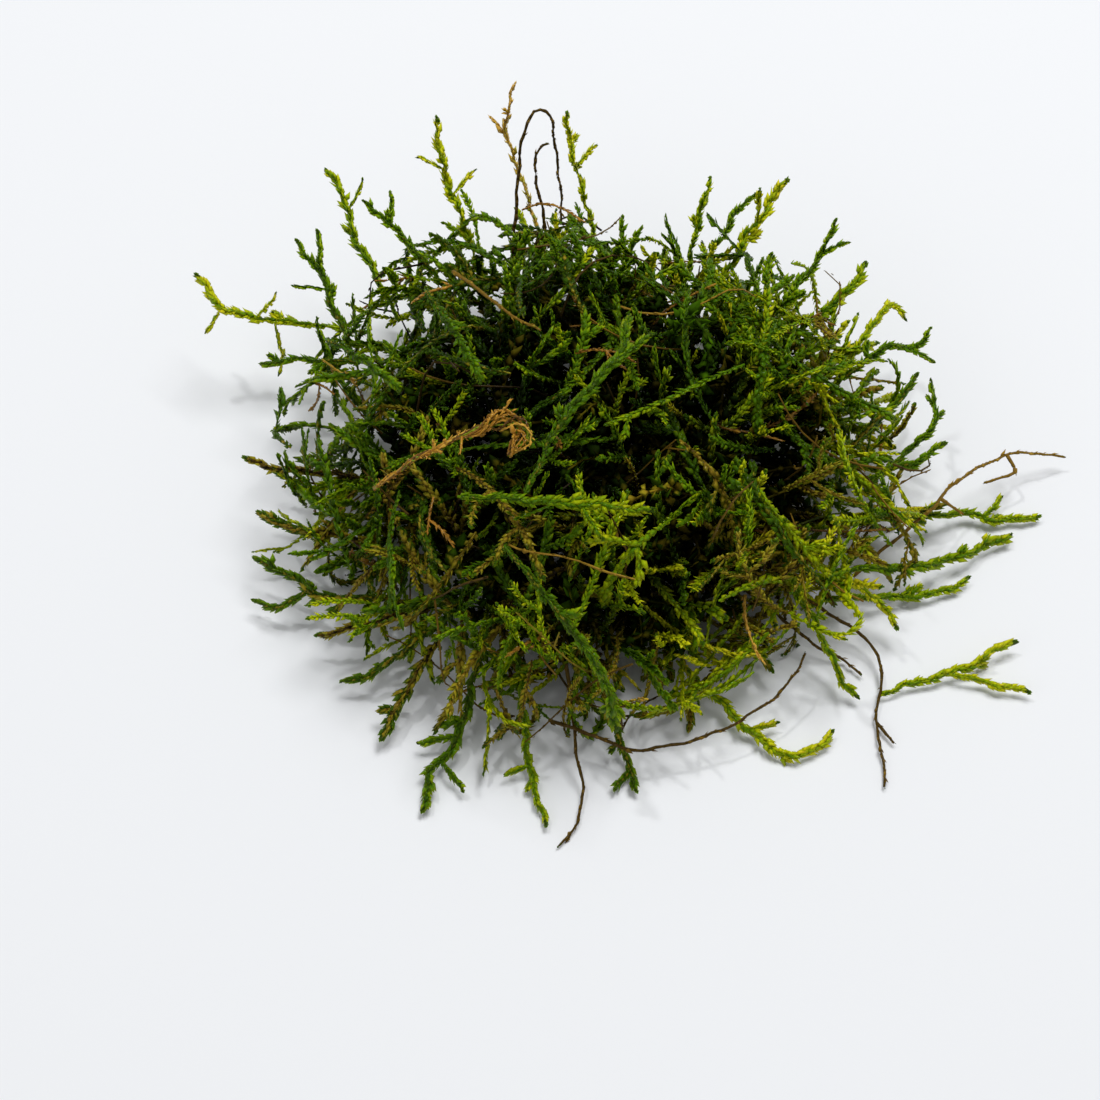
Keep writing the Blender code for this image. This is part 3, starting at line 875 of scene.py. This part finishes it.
LEAFY_HABIT = Habit(LeafForm(), spacing=0.15 * MM)
FINE_HABIT = Habit(SMALL_LEAF, spacing=0.145 * MM, stem_radius=0.11 * MM)
UNDER_HABIT = Habit(LeafForm(length=1.35 * MM, width=0.74 * MM), spacing=0.22 * MM)
OLD_HABIT = Habit(
    OLD_LEAF, spacing=0.46 * MM, side_spread=50, face_spread=45, flatness=0, stem_radius=0.2 * MM, ragged=16,
    root_size=1.0,
)
BARE_HABIT = Habit(
    SCALE_LEAF, spacing=0.7 * MM, side_spread=14, face_spread=10, flatness=0, stem_sides=5,
    size_disorder=0.3, root_size=1.0, stem_darker=0.0, face_darker=0.0,
)
DEAD_HABIT = Habit(
    BEAD_LEAF, spacing=0.17 * MM, side_spread=24, face_spread=12, flatness=30, stem_sides=5, ragged=12,
    size_disorder=0.35, root_size=1.0, stem_darker=0.0,
)

LAYERS = (
    Layer(
        "outer", 260, (0.945, 0.05), (10 * MM, 18 * MM), 1.1, 0.08, (0, 2), LEAFY_HABIT, (0.57, 0.09), 11,
        pieces=3,
    ),
    Layer("fine", 140, (0.96, 0.05), (8 * MM, 15 * MM), 1.2, 0.09, (0, 2), FINE_HABIT, (0.66, 0.12), 12),
    Layer(
        "middle", 150, (0.83, 0.06), (12 * MM, 20 * MM), 1.3, 0.06, (0, 2), UNDER_HABIT, (0.5, 0.07), 13,
        pieces=2,
    ),
    Layer(
        "bare", 64, (0.95, 0.04), (9 * MM, 18 * MM), 1.6, 0.13, (0, 1), BARE_HABIT, (0.3, 0.16), 15,
        finish=Finish.OLD_STEM,
    ),
    Layer(
        "dead", 30, (0.95, 0.03), (4 * MM, 10 * MM), 2.0, 0.12, (0, 1), DEAD_HABIT, (0.45, 0.22), 16,
        finish=Finish.DEAD_STRAND,
    ),
)
OLD_LAYER = Layer(
    "old", 205, (0.0, 0.0), (20 * MM, 30 * MM), 0.0, 0.06, (0, 0), OLD_HABIT, (0.38, 0.05), 14,
    finish=Finish.MOSS_OLD, pieces=2, ground=1.6 * MM,
)

ROUTE_STEPS = 36
GOLDEN_TURN = math.pi * (3 - math.sqrt(5))  # spreads the tips evenly over the mat


@dataclass
class ShootMat:
    """The dense tangle of shoots that fills the mat's form."""

    form: MatForm

    def build(self) -> list[tuple[bpy.types.Object, Finish]]:
        """Grows every layer.

        Returns:
            The mat's pieces with their finishes.
        """
        pieces = []
        for layer in LAYERS:
            pieces += self._grow(layer, *self._outer_routes(layer))
        return pieces + self._grow(OLD_LAYER, *self._inner_routes(OLD_LAYER))

    def _grow(
        self, layer: Layer, points: np.ndarray, tones: np.ndarray
    ) -> list[tuple[bpy.types.Object, Finish]]:
        """Grows one layer along its routes.

        Args:
            layer: the layer.
            points: route points of shape (shoots, steps, 3).
            tones: one tone a shoot.

        Returns:
            The layer's pieces with their finishes.
        """
        rng = np.random.default_rng(SEED + 10 * layer.seed)
        buffers = [MeshBuffer() for _ in range(layer.pieces)]
        living = layer.finish in (Finish.MOSS_GREEN, Finish.MOSS_LIME)
        for number, (line, tone) in enumerate(zip(points, tones)):
            buffer = buffers[number % layer.pieces]
            outward = unit(self.form.outward(line) + rng.normal(0, 0.45, 3))
            bud = Tone.DEEP.value + 0.04 if living else tone
            shoot = Shoot(Route(line, outward), layer.habit, float(tone), rng, self.form.light, bud)
            shoot.grow(buffer)
            for _ in range(rng.integers(layer.twigs[0], layer.twigs[1] + 1)):
                side_shoot(shoot, rng).grow(buffer)
        return [
            (buffer.to_object(f"mat_{layer.name}_shoots_{number}", layer.finish), layer.finish)
            for number, buffer in enumerate(buffers, 1)
        ]

    def _outer_routes(self, layer: Layer) -> tuple[np.ndarray, np.ndarray]:
        """Finds the ways of shoots whose tips reach the outside, walking back from each tip to its root.

        Args:
            layer: the layer.

        Returns:
            Route points from root to tip, and tones.
        """
        rng = np.random.default_rng(SEED + layer.seed)
        count = layer.count
        level = np.linspace(-0.5, 0.99, count)
        level = np.sign(level) * np.abs(level) ** 0.72
        turn = np.arange(count) * GOLDEN_TURN + rng.normal(0, 0.15, count)
        flat = np.sqrt(1 - level**2)
        tip = np.stack([flat * np.cos(turn), flat * np.sin(turn), level], -1)
        share = rng.normal(*layer.tips, count)
        share = share + layer.skirt * rng.random(count) ** 2 * smooth_step(-level, -0.5, 0.0)
        tone = rng.normal(*layer.tones, count) + 0.08 * smooth_step(-level, -0.4, 0.1)
        place = self.form.place(tip, np.ones(count))
        share = share + sum(patch.lift * patch.strength(place) for patch in PATCHES)
        tone = tone + sum(patch.tone * patch.strength(place) for patch in PATCHES)
        worn = sum(patch.worn * patch.strength(place) for patch in PATCHES)
        tone = np.where(rng.random(count) < worn, rng.normal(*WORN_TONES, count), tone)
        place = self.form.place(tip, np.maximum(share, 0.4))
        aside = unit(rng.normal(0, 1, (count, 3)))
        heading = unit(self.form.outward(place) + layer.swing * aside + (0, 0, 0.1))
        step = rng.uniform(*layer.length, count)[:, None] / (ROUTE_STEPS - 1)
        bend = unit(rng.normal(0, 1, (count, 3)))
        line = [place]
        for _ in range(ROUTE_STEPS - 1):
            bend = unit(bend + rng.normal(0, 0.16, (count, 3)))
            heading = heading + layer.curl * (step / MM) * np.cross(bend, heading)
            outside = smooth_step(self.form.share_of(place), 0.96, 1.12)[:, None]
            heading = unit(heading + (0.05 + 0.5 * outside) * (step / MM) * self.form.outward(place))
            place = place - heading * step
            line.append(place)
        points = np.stack(line[::-1], axis=1)
        points[..., 2] = rest_on_ground(points[..., 2], layer.ground)
        return points, np.clip(tone, 0.02, 0.98)

    def _inner_routes(self, layer: Layer) -> tuple[np.ndarray, np.ndarray]:
        """Finds the ways of the old stems that wander about inside the mat.

        Args:
            layer: the layer.

        Returns:
            Route points and tones.
        """
        rng = np.random.default_rng(SEED + layer.seed)
        count = layer.count
        start = unit(rng.normal(0, 1, (count, 3)) * (1, 1, 0.8))
        place = self.form.place(start, 0.72 * rng.random(count) ** (1 / 2.6))
        heading = unit(rng.normal(0, 1, (count, 3)) * (1, 1, 0.4))
        step = rng.uniform(*layer.length, count)[:, None] / (ROUTE_STEPS - 1)
        bend = unit(rng.normal(0, 1, (count, 3)))
        line = []
        for _ in range(ROUTE_STEPS):
            line.append(place)
            bend = unit(bend + rng.normal(0, 0.2, (count, 3)))
            heading = heading + layer.curl * (step / MM) * np.cross(bend, heading)
            outside = smooth_step(self.form.share_of(place), 0.58, 0.76)[:, None]
            heading = unit(heading - 0.45 * (step / MM) * outside * self.form.outward(place))
            place = place + heading * step
        points = np.stack(line, axis=1)
        points[..., 2] = rest_on_ground(points[..., 2], layer.ground)
        return points, np.clip(rng.normal(*layer.tones, count), 0.02, 0.98)


def side_shoot(parent: Shoot, rng: np.random.Generator, length: tuple = (2.5 * MM, 8 * MM)) -> Shoot:
    """Makes a side shoot that leaves its parent at an angle and bends back towards its way.

    Args:
        parent: the shoot that it grows from.
        rng: the random numbers to draw from.
        length: the range of lengths.

    Returns:
        The side shoot, not grown yet.
    """
    route = parent.route
    where = np.array([rng.uniform(0.3, 0.88) * route.length])
    place, forward, side, out = (axis[0] for axis in route.axes(where))
    reach = rng.uniform(*length) * (1.15 - 0.6 * where[0] / route.length)
    lean = math.radians(rng.uniform(40, 80)) * rng.choice([-1, 1])
    t = np.linspace(0, 1, 12)[:, None]
    turn = lean * (1 - 0.5 * t)
    heading = np.cos(turn) * forward + np.sin(turn) * side + rng.normal(0.1, 0.25) * out
    points = np.vstack([place, place + np.cumsum(heading, axis=0) * reach / len(t)])
    points[:, 2] = rest_on_ground(points[:, 2], TWIG_GROUND)
    outward = np.broadcast_to(out, points.shape)
    tone = parent.tone + rng.normal(0.03, 0.03)
    return Shoot(Route(points, outward), parent.habit, tone, rng, parent.light, parent.bud_tone)


# ---------------------------------------------------------------- stray pieces


class Growth(Enum):
    """A kind of stray piece."""

    LEAFY = "leafy"
    FINE = "fine"
    BARE = "bare"
    DEAD = "dead"
    FRAYED = "frayed"


@dataclass(frozen=True)
class Kind:
    """How a kind of stray piece grows: its finish, its habit, its side shoots' habit, and its small stubs."""

    finish: Finish
    habit: Habit
    side_habit: Habit
    stubs_per_mm: float
    sway: float = 0.13 * MM
    stub_length: tuple[float, float] = (0.9 * MM, 2.2 * MM)
    age: float = 0.22  # how much older the root is than the tip, on the palette
    strands: int = 1  # stems that run side by side
    splay: float = 0.0  # how far apart they come towards the tip


CLOSE_RINGS = ((0.3, 1.0), (0.7, 0.74))
STRAY_LEAFY = Habit(
    LeafForm(length=1.3 * MM, width=0.6 * MM), spacing=0.09 * MM, side_spread=29, face_spread=9,
    stem_sides=6, segment=1.2 * MM, ragged=5, face_darker=0.16,
)
STRAY_FINE = Habit(
    LeafForm(length=1.05 * MM, width=0.48 * MM), spacing=0.085 * MM, side_spread=29, face_spread=9,
    stem_radius=0.12 * MM, stem_sides=6, segment=1.2 * MM, ragged=5, face_darker=0.16, root_size=0.75,
)
STRAY_BARE = Habit(
    LeafForm(length=0.5 * MM, width=0.24 * MM), spacing=0.28 * MM, side_spread=17, face_spread=11,
    flatness=0, stem_radius=0.21 * MM, stem_sides=8, segment=0.8 * MM, size_disorder=0.35, root_size=1.0,
    stem_darker=0.3, face_darker=0.0,
)
STRAY_DEAD = Habit(
    LeafForm(length=0.85 * MM, width=0.3 * MM), spacing=0.1 * MM, side_spread=22, face_spread=9,
    flatness=40, stem_radius=0.18 * MM, stem_sides=8, segment=1.2 * MM, ragged=8, size_disorder=0.3,
    root_size=1.0, stem_darker=0.0, face_darker=0.0,
)
STRAY_THREAD = Habit(
    LeafForm(length=0.42 * MM, width=0.2 * MM, rings=CLOSE_RINGS), spacing=0.22 * MM, side_spread=24,
    face_spread=18, flatness=20, stem_radius=0.14 * MM, stem_sides=6, segment=1.2 * MM, ragged=20,
    size_disorder=0.35, root_size=1.0, stem_darker=0.0, face_darker=0.0,
)
KINDS = {
    Growth.LEAFY: Kind(Finish.MOSS_GREEN, STRAY_LEAFY, STRAY_FINE, 0.07),
    Growth.FINE: Kind(Finish.MOSS_LIME, STRAY_FINE, STRAY_FINE, 0.07),
    Growth.BARE: Kind(Finish.OLD_STEM, STRAY_BARE, STRAY_BARE, 0.0, 0.08 * MM, age=0.1),
    Growth.DEAD: Kind(Finish.DEAD_STRAND, STRAY_DEAD, STRAY_DEAD, 0.02, age=-0.2),
    Growth.FRAYED: Kind(
        Finish.DEAD_STRAND, STRAY_THREAD, STRAY_THREAD, 0.3, 0.12 * MM, (0.6 * MM, 1.4 * MM), age=0.0,
        strands=8, splay=1.25 * MM,
    ),
}


@dataclass(frozen=True)
class Twig:
    """A side shoot: the share of its parent's length at which it leaves, and its points in millimetres."""

    leaves_at: float
    points: tuple


@dataclass(frozen=True)
class Stray:
    """A stray piece with the frame's own route points, in millimetres from the mat outwards."""

    name: str
    growth: Growth
    tone: Tone
    points: tuple
    twigs: tuple = ()
    root_reach: float = 5 * MM  # how far its root runs on into the mat

    def build(self, number: int) -> bpy.types.Object:
        """Grows the piece with its side shoots and stubs.

        Args:
            number: the piece's place in the list, which seeds its disorder.

        Returns:
            The piece.
        """
        rng = np.random.default_rng(SEED * 100 + number)
        kind = KINDS[self.growth]
        low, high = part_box(self.name)
        middle = (np.array(low) + np.array(high)) / 2
        outward = unit(middle * (1, 1, 0.4) + (0, -0.012, 0.03))
        buffer = MeshBuffer()
        knots = np.array(self.points, float) * MM
        root = knots[0] + unit(knots[0] - knots[1] + (0, 0, -0.4 * MM)) * self.root_reach
        root[2] = max(root[2], 0.6 * MM)
        route = Route.through(np.vstack([root, knots]), outward).swayed(rng, kind.sway)
        shoot = Shoot(route, kind.habit, self.tone.value, rng, bud_tone=self._bud(), age=kind.age)
        shoot.grow(buffer)
        for _ in range(kind.strands - 1):
            strand = route.splayed(rng, kind.splay)
            tone = self.tone.value + rng.normal(-0.12, 0.26)
            Shoot(strand, kind.habit, tone, rng, bud_tone=tone, age=kind.age).grow(buffer)
        own = route.distance >= self.root_reach
        for twig in self.twigs:
            shares = np.linspace(0, 1, own.sum())
            place = np.array([np.interp(twig.leaves_at, shares, v) for v in route.points[own].T])
            knots = np.vstack([place, np.array(twig.points) * MM])
            branch = Route.through(knots, outward).swayed(rng, kind.sway)
            Shoot(branch, kind.side_habit, self.tone.value + 0.03, rng, bud_tone=self._bud()).grow(buffer)
        for _ in range(rng.poisson(kind.stubs_per_mm * route.length / MM)):
            side_shoot(shoot, rng, kind.stub_length).grow(buffer)
        return buffer.to_object(f"{self.name}_grown", kind.finish)

    def _bud(self) -> float:
        """The tone of the bud at each tip: dark green on living shoots, plain on dead ones."""
        return {
            Growth.BARE: Tone.STRAW.value, Growth.DEAD: self.tone.value, Growth.FRAYED: self.tone.value
        }.get(self.growth, Tone.DEEP.value)


LEAFY, FINE, BARE, DEAD, FRAYED = Growth
LEFT_SIDE = (
    Stray("far_left_shoot", LEAFY, Tone.LIME,
        ((-31.5, 16.5, 10), (-37.5, 16.7, 11), (-41.7, 17.5, 12), (-44.6, 20.7, 13.5)),
        (Twig(0.42, ((-35.5, 17.5, 14.5),)), Twig(0.3, ((-35.5, 15, 7.5), (-35.7, 13.6, 4.5))),
         Twig(0.7, ((-43.5, 16, 9.5),))),
    ),
    Stray("left_forked_shoot", LEAFY, Tone.FRESH,
        ((-28.5, 14.5, 13), (-30.3, 18.5, 15), (-31, 22.5, 19)),
        (Twig(0.5, ((-33.4, 22.8, 17),)), Twig(0.4, ((-33.4, 17.2, 16.5),))),
    ),
    Stray("left_knobby_shoot", FINE, Tone.FRESH, ((-31, 10.5, 12), (-34, 10.5, 12), (-37.2, 10.2, 11.5))),
    Stray("left_upper_shoot", FINE, Tone.OLIVE, ((-31, -2.6, 10), (-35, -2.2, 10), (-38.3, -1.3, 10.5))),
    Stray("left_middle_shoot", LEAFY, Tone.DEEP, ((-29, -9.5, 8.5), (-33.5, -8.5, 8), (-37, -6.8, 8.5))),
    Stray("left_low_shoot", LEAFY, Tone.MID,
        ((-25, -15.8, 5.5), (-30, -15.2, 4.8), (-33.4, -12.6, 4.6), (-37.3, -10.7, 5)),
        (Twig(0.5, ((-34.5, -15.4, 3), (-37.4, -14.4, 2.4))),),
    ),
    Stray("left_thin_shoot", FINE, Tone.OLIVE, ((-23, -18.6, 6), (-27.5, -19, 4.4), (-30.5, -19.3, 3.6))),
    Stray("left_corner_shoot", FINE, Tone.MID, ((-19.5, -21, 6), (-24, -23.5, 3.5), (-27.5, -24.3, 2.4))),
)

BACK = (
    Stray("back_left_shoot", LEAFY, Tone.BRIGHT,
        ((-24.5, 20.5, 12.5), (-27.2, 24.4, 16), (-28.2, 27.5, 18.5), (-30, 29.5, 20.5)),
        (Twig(0.62, ((-26, 28, 21),)),),
    ),
    Stray("back_left_thin_shoot", FINE, Tone.FRESH,
        ((-19, 21.5, 14), (-22.7, 24.9, 16.5), (-26.1, 27.2, 18.5)), (Twig(0.6, ((-23, 28, 19),)),),
    ),
    Stray("tall_back_shoot", LEAFY, Tone.LIME,
        ((-14.3, 24.5, 13.5), (-15.3, 26.5, 16.5), (-16.8, 28.5, 20), (-17.5, 30.2, 23.5), (-18, 32, 27)),
        (Twig(0.6, ((-20, 29.4, 23.4),)), Twig(0.4, ((-14, 29.8, 20.5),))),
    ),
    Stray("amber_back_strand", DEAD, Tone.BRIGHT,
        ((-7.5, 30.5, 12), (-8.8, 33, 15.5), (-10.2, 35, 19.5), (-10.2, 36, 23), (-9.3, 37.3, 26.5)),
        (Twig(0.55, ((-12, 36.4, 21.5),)),),
    ),
    Stray("looped_back_stem", BARE, Tone.MID,
        ((-9.3, 27.5, 16), (-9, 29.8, 19.5), (-8.6, 31.5, 23.5), (-7.6, 32.6, 26.5), (-6.3, 33, 27.3),
         (-5.3, 32.6, 25.6), (-4.9, 31.8, 22), (-4.3, 30, 16), (-4.2, 28, 13)),
    ),
    Stray("inner_back_stem", BARE, Tone.MID,
        ((-6.4, 28, 16), (-7, 29.6, 19), (-7.2, 30.2, 21.5), (-6.5, 30.7, 23.6), (-5.7, 30.5, 24.4)),
    ),
    Stray("lime_back_shoot", FINE, Tone.LIME,
        ((-0.5, 28, 11), (-1.8, 30.2, 16), (-2.9, 31.8, 20), (-3.4, 33.2, 22.8), (-3.7, 34.2, 25.2)),
        (Twig(0.55, ((-0.6, 33, 20.6),)),),
    ),
    Stray("slender_back_shoot", FINE, Tone.BRIGHT, ((10.2, 24, 12), (11.1, 26.8, 16), (12.1, 29, 20))),
    Stray("dark_back_shoot", FINE, Tone.FRESH, ((13, 25, 13), (15, 27, 16), (17, 28.6, 18))),
    Stray("wide_lime_shoot", LEAFY, Tone.LIME,
        ((14.3, 21, 14.5), (16.4, 23.9, 17), (18.4, 25.9, 19), (20.2, 27.9, 21.4)),
        (Twig(0.5, ((17.4, 25.4, 23),)),),
    ),
    Stray("side_back_shoot", FINE, Tone.FRESH,
        ((21, 19, 12), (24.5, 22.5, 15), (25.8, 24.8, 18)), (Twig(0.55, ((27.2, 23.2, 16.5),)),),
    ),
    Stray("right_back_shoot", LEAFY, Tone.BRIGHT, ((24, 16.5, 11.5), (27.6, 19.2, 13), (29.4, 21.6, 14.4))),
    Stray("curled_right_shoot", FINE, Tone.LIME,
        ((28, 12, 11), (30.3, 15.5, 12), (32.4, 18.2, 11.2), (34, 17.6, 9.6)),
    ),
)

RIGHT_SIDE = (
    Stray("right_upright_shoot", FINE, Tone.FRESH,
        ((28.8, 9.5, 13), (31.6, 11, 14), (34.4, 11.4, 13), (36, 13.2, 14)),
        (Twig(0.6, ((36.4, 10.2, 12.2),)),),
    ),
    Stray("right_drooping_shoot", FINE, Tone.FRESH,
        ((33, 1.5, 6.5), (36.2, 4, 8), (36.8, 7, 8.8), (36.2, 9.4, 9.6)),
    ),
    Stray("right_twiggy_shoot", FINE, Tone.MID, ((29.5, 2, 12.5), (32.4, 4.2, 14), (34, 6.6, 15))),
    Stray("right_short_shoot", FINE, Tone.FRESH, ((31, -2.2, 9.5), (35, -1, 10.2), (37.2, 0.6, 10.8))),
    Stray("brown_branched_stem", BARE, Tone.BRIGHT,
        ((31, -9, 5), (35.4, -5.6, 6.4), (38.7, -1.8, 6.4), (42.9, 1.7, 5), (46.4, 3.5, 4), (51.7, 4.2, 2)),
        (Twig(0.72, ((45.6, 1, 3.8), (42, -0.6, 4.4))), Twig(0.3, ((39.4, -5.2, 5.4),))),
    ),
    Stray("right_trailing_shoot", FINE, Tone.BRIGHT,
        ((32, -4.6, 3.4), (36.9, -3.6, 2.6), (40.9, -3, 1.6), (44, -3.6, 1.2), (48.5, -2.8, 1)),
        (Twig(0.62, ((44.4, -0.8, 1.6),)),),
    ),
    Stray("right_low_shoot", LEAFY, Tone.BRIGHT,
        ((29, -11.8, 5), (34, -10.9, 3.8), (38.6, -9, 2.4), (42.4, -7, 1.6), (45, -5.4, 1.2)),
    ),
    Stray("right_low_thin_shoot", FINE, Tone.BRIGHT,
        ((28.5, -14, 2.6), (33.5, -13.4, 1.6), (37.4, -12.4, 1.2), (40.2, -10.8, 1.1)),
    ),
    Stray("right_corner_shoot", FINE, Tone.LIME, ((25.5, -13.5, 6.5), (29.6, -15.8, 5.2), (31.6, -18, 3.4))),
)

FRONT = (
    Stray("long_bare_stem", BARE, Tone.MID,
        ((20.5, -14.5, 5), (24.6, -16.8, 3.8), (27.8, -18.4, 2.4), (29.8, -21, 1.6), (29.7, -25, 1),
         (29.1, -28, 0.8), (29.6, -32, 0.6), (29.7, -35.7, 0.5)), (Twig(0.72, ((31, -30.6, 0.6),)),),
    ),
    Stray("short_bare_stem", BARE, Tone.MID,
        ((18.5, -16.5, 4), (22.5, -19.3, 2.2), (25.6, -20.6, 1), (28, -22.4, 0.6)),
    ),
    Stray("lower_right_shoot", FINE, Tone.BRIGHT,
        ((20.6, -16, 8), (23.5, -20.6, 5.6), (25.1, -23.4, 3.2), (27.2, -25.6, 1.4)),
    ),
    Stray("forked_lime_shoot", LEAFY, Tone.LIME,
        ((30.5, -24.8, 1.05), (34.5, -23.4, 1.3), (37.7, -22.6, 1.5), (41, -21, 1.7), (44.3, -19, 2)),
        (Twig(0.46, ((41.4, -23.8, 1.4), (45.5, -24.8, 1.2))),), root_reach=0.9 * MM,
    ),
    Stray("lime_crescent_shoot", LEAFY, Tone.LIME,
        ((11.5, -25.5, 2.6), (15.1, -29, 1.6), (17.7, -31.3, 1.3), (20.3, -32.3, 1.2), (22.8, -31.4, 1.2),
         (24.2, -29.6, 1.2)), (Twig(0.34, ((18.6, -28.6, 1.5),)),),
    ),
    Stray("long_dark_stem", BARE, Tone.MID,
        ((-1, -31.5, 4.4), (3, -33, 4), (8, -32.2, 3.8), (12.5, -30.8, 4.2), (17, -28.2, 4.8),
         (20, -25.4, 5.4), (21.4, -22.6, 6)),
    ),
    Stray("small_front_shoot", FINE, Tone.MID,
        ((0.8, -28, 3.4), (2.4, -32.4, 1.4), (3.6, -36.4, 1)), (Twig(0.7, ((1.2, -36.2, 0.9),)),),
    ),
    Stray("hanging_bare_stem", BARE, Tone.MID,
        ((-3.2, -29, 5), (-2.6, -33.5, 2.4), (-2, -36.5, 1), (-2.9, -40.1, 0.5), (-4.5, -42.5, 0.5)),
    ),
    Stray("pale_front_shoot", FINE, Tone.BRIGHT,
        ((-8.4, -28, 5.5), (-7.8, -33, 2), (-7, -36.6, 1.1), (-6, -40, 0.9)),
        (Twig(0.5, ((-10, -34.6, 1.4),)),),
    ),
    Stray("front_left_shoot", LEAFY, Tone.FRESH,
        ((-13.4, -25, 6), (-15.3, -31, 2.6), (-18, -34.4, 1.5), (-18.6, -38.5, 1.1)),
        (Twig(0.62, ((-14.6, -36.4, 1.2),)), Twig(0.45, ((-19.4, -31, 1.6),))),
    ),
    Stray("front_left_stub", LEAFY, Tone.DEEP, ((-19, -23.4, 5), (-21.6, -27.4, 3), (-23.3, -30.6, 1.8))),
)

ON_TOP = (
    Stray("rust_strand", FRAYED, Tone.FRESH,
        ((-20.5, -8.8, 21.2), (-18, -8.4, 23.4), (-15, -7.4, 24.4), (-12, -6.6, 25.4), (-9.6, -6.6, 26.4),
         (-8.2, -8.4, 26.6), (-9.6, -10.4, 25.6)),
        (Twig(0.4, ((-14.6, -9.6, 24.8),)), Twig(0.62, ((-9.4, -4.6, 27.4),))),
    ),
    Stray("y_shaped_shoot", LEAFY, Tone.FRESH,
        ((-6, -10.4, 26.6), (-4.6, -7.6, 27.2), (-1.4, -3.4, 27.8), (1.8, 1, 27.8), (2.6, 5.6, 27.4)),
        (Twig(0.62, ((4.8, 3, 27.8),)),),
    ),
    Stray("bright_band_shoot", LEAFY, Tone.BRIGHT,
        ((-10, -15, 25), (-5, -15.6, 25.2), (0, -16, 25.2), (5, -16.4, 24.8)),
        (Twig(0.5, ((-0.4, -19.2, 24.4),)),),
    ),
    Stray("diagonal_front_shoot", LEAFY, Tone.FRESH,
        ((-7, -23.4, 22.4), (-3.3, -27.6, 20.2), (0, -31.4, 16.8), (1.2, -34.4, 11.6)),
    ),
    Stray("brown_top_strand", BARE, Tone.BRIGHT, ((-12.8, 10.4, 25.2), (-9.6, 6.6, 26.4), (-6.4, 4, 27.2))),
    Stray("bright_left_shoot", LEAFY, Tone.FRESH, ((-17, 8, 24.8), (-14.8, 3, 26.6), (-12.6, -2.2, 27))),
    Stray("left_crown_shoot", LEAFY, Tone.FRESH, ((-27, 5.8, 20.8), (-24, 2, 23.4), (-21.2, -1.6, 24.6))),
)

STRAYS = LEFT_SIDE + BACK + RIGHT_SIDE + FRONT + ON_TOP


# ---------------------------------------------------------------- studio


@dataclass(frozen=True)
class Studio:
    """A plain pale floor, soft light and the camera."""

    floor_size: float = 3.0
    floor_colour: str = "#eceef1"
    target: tuple[float, float, float] = (-5.5 * MM, -6.6 * MM, 0.0)
    elevation: float = 60.0
    distance: float = 0.336
    lens: float = 100.0

    def build(self) -> None:
        """Makes the floor, the lights, the sky and the camera."""
        self._floor()
        self._lights()
        self._camera()
        bpy.context.scene.view_settings.view_transform = "Standard"

    def _floor(self) -> None:
        """A flat sheet of matt paper, large enough to fill every view."""
        half = self.floor_size / 2
        mesh = bpy.data.meshes.new("floor")
        corners = [(-half, -half, 0), (half, -half, 0), (half, half, 0), (-half, half, 0)]
        mesh.from_pydata(corners, [], [(0, 1, 2, 3)])
        floor = bpy.data.objects.new("floor", mesh)
        bpy.context.scene.collection.objects.link(floor)
        material = bpy.data.materials.new("floor_paper")
        material.use_nodes = True
        tree = material.node_tree
        shader = tree.nodes["Principled BSDF"]
        place = add_node(tree, "ShaderNodeTexCoord")
        fibre = add_node(tree, "ShaderNodeTexNoise", {"Scale": 900.0}, {"Vector": place.outputs["Object"]})
        rough = add_node(tree, "ShaderNodeMapRange", {"To Min": 0.75, "To Max": 0.9}, {"Value": fibre})
        tree.links.new(rough.outputs[0], shader.inputs["Roughness"])
        shader.inputs["Base Color"].default_value = linear(self.floor_colour)
        floor.data.materials.append(material)

    def _lights(self) -> None:
        """A broad soft light above and behind, a weak one in front, a small one for glints, a pale sky."""
        self._area("key_light", (0.22, 0.32, 0.95), 0.42, 7.1)
        self._area("fill_light", (-0.4, -0.35, 0.4), 0.5, 0.4)
        self._area("glint_light", (-0.25, 0.3, 0.9), 0.05, 1.5)
        world = bpy.data.worlds.new("studio_sky")
        world.use_nodes = True
        sky = world.node_tree.nodes["Background"]
        sky.inputs["Color"].default_value = linear("#f6f6f6")
        sky.inputs["Strength"].default_value = 0.3
        bpy.context.scene.world = world

    def _area(self, name: str, place: tuple, size: float, power: float) -> None:
        """Adds a square light that faces the clump.

        Args:
            name: the light's name.
            place: where it stands, in metres.
            size: the length of its sides.
            power: its power in watts.
        """
        lamp = bpy.data.lights.new(name, "AREA")
        lamp.size = size
        lamp.energy = power
        holder = bpy.data.objects.new(name, lamp)
        holder.location = place
        holder.rotation_euler = (-Vector(place)).to_track_quat("-Z", "Y").to_euler()
        bpy.context.scene.collection.objects.link(holder)

    def _camera(self) -> None:
        """Looks down on the clump from the front, with a long lens."""
        tilt = math.radians(self.elevation)
        back = Vector((0, -math.cos(tilt), math.sin(tilt)))
        camera = bpy.data.objects.new("camera", bpy.data.cameras.new("camera"))
        camera.location = Vector(self.target) + back * self.distance
        camera.rotation_euler = (-back).to_track_quat("-Z", "Y").to_euler()
        camera.data.lens = self.lens
        camera.data.clip_start = 0.01
        bpy.context.scene.collection.objects.link(camera)
        bpy.context.scene.camera = camera


def main() -> None:
    """Builds the studio, the mat and every stray piece around the frame."""
    logging.basicConfig(level=logging.INFO, format="%(message)s")
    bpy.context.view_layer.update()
    Studio().build()
    for finish in Finish:
        finish.value.make(finish.material_name)
    for piece, finish in ShootMat(MatForm.from_frame()).build():
        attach(piece, BODY)
        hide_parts("shoot_mat")
        finish.slot
    for number, stray in enumerate(STRAYS):
        piece = stray.build(number)
        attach(piece, BODY)
        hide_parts(stray.name)
        KINDS[stray.growth].finish.slot


if __name__ == "__main__":
    main()
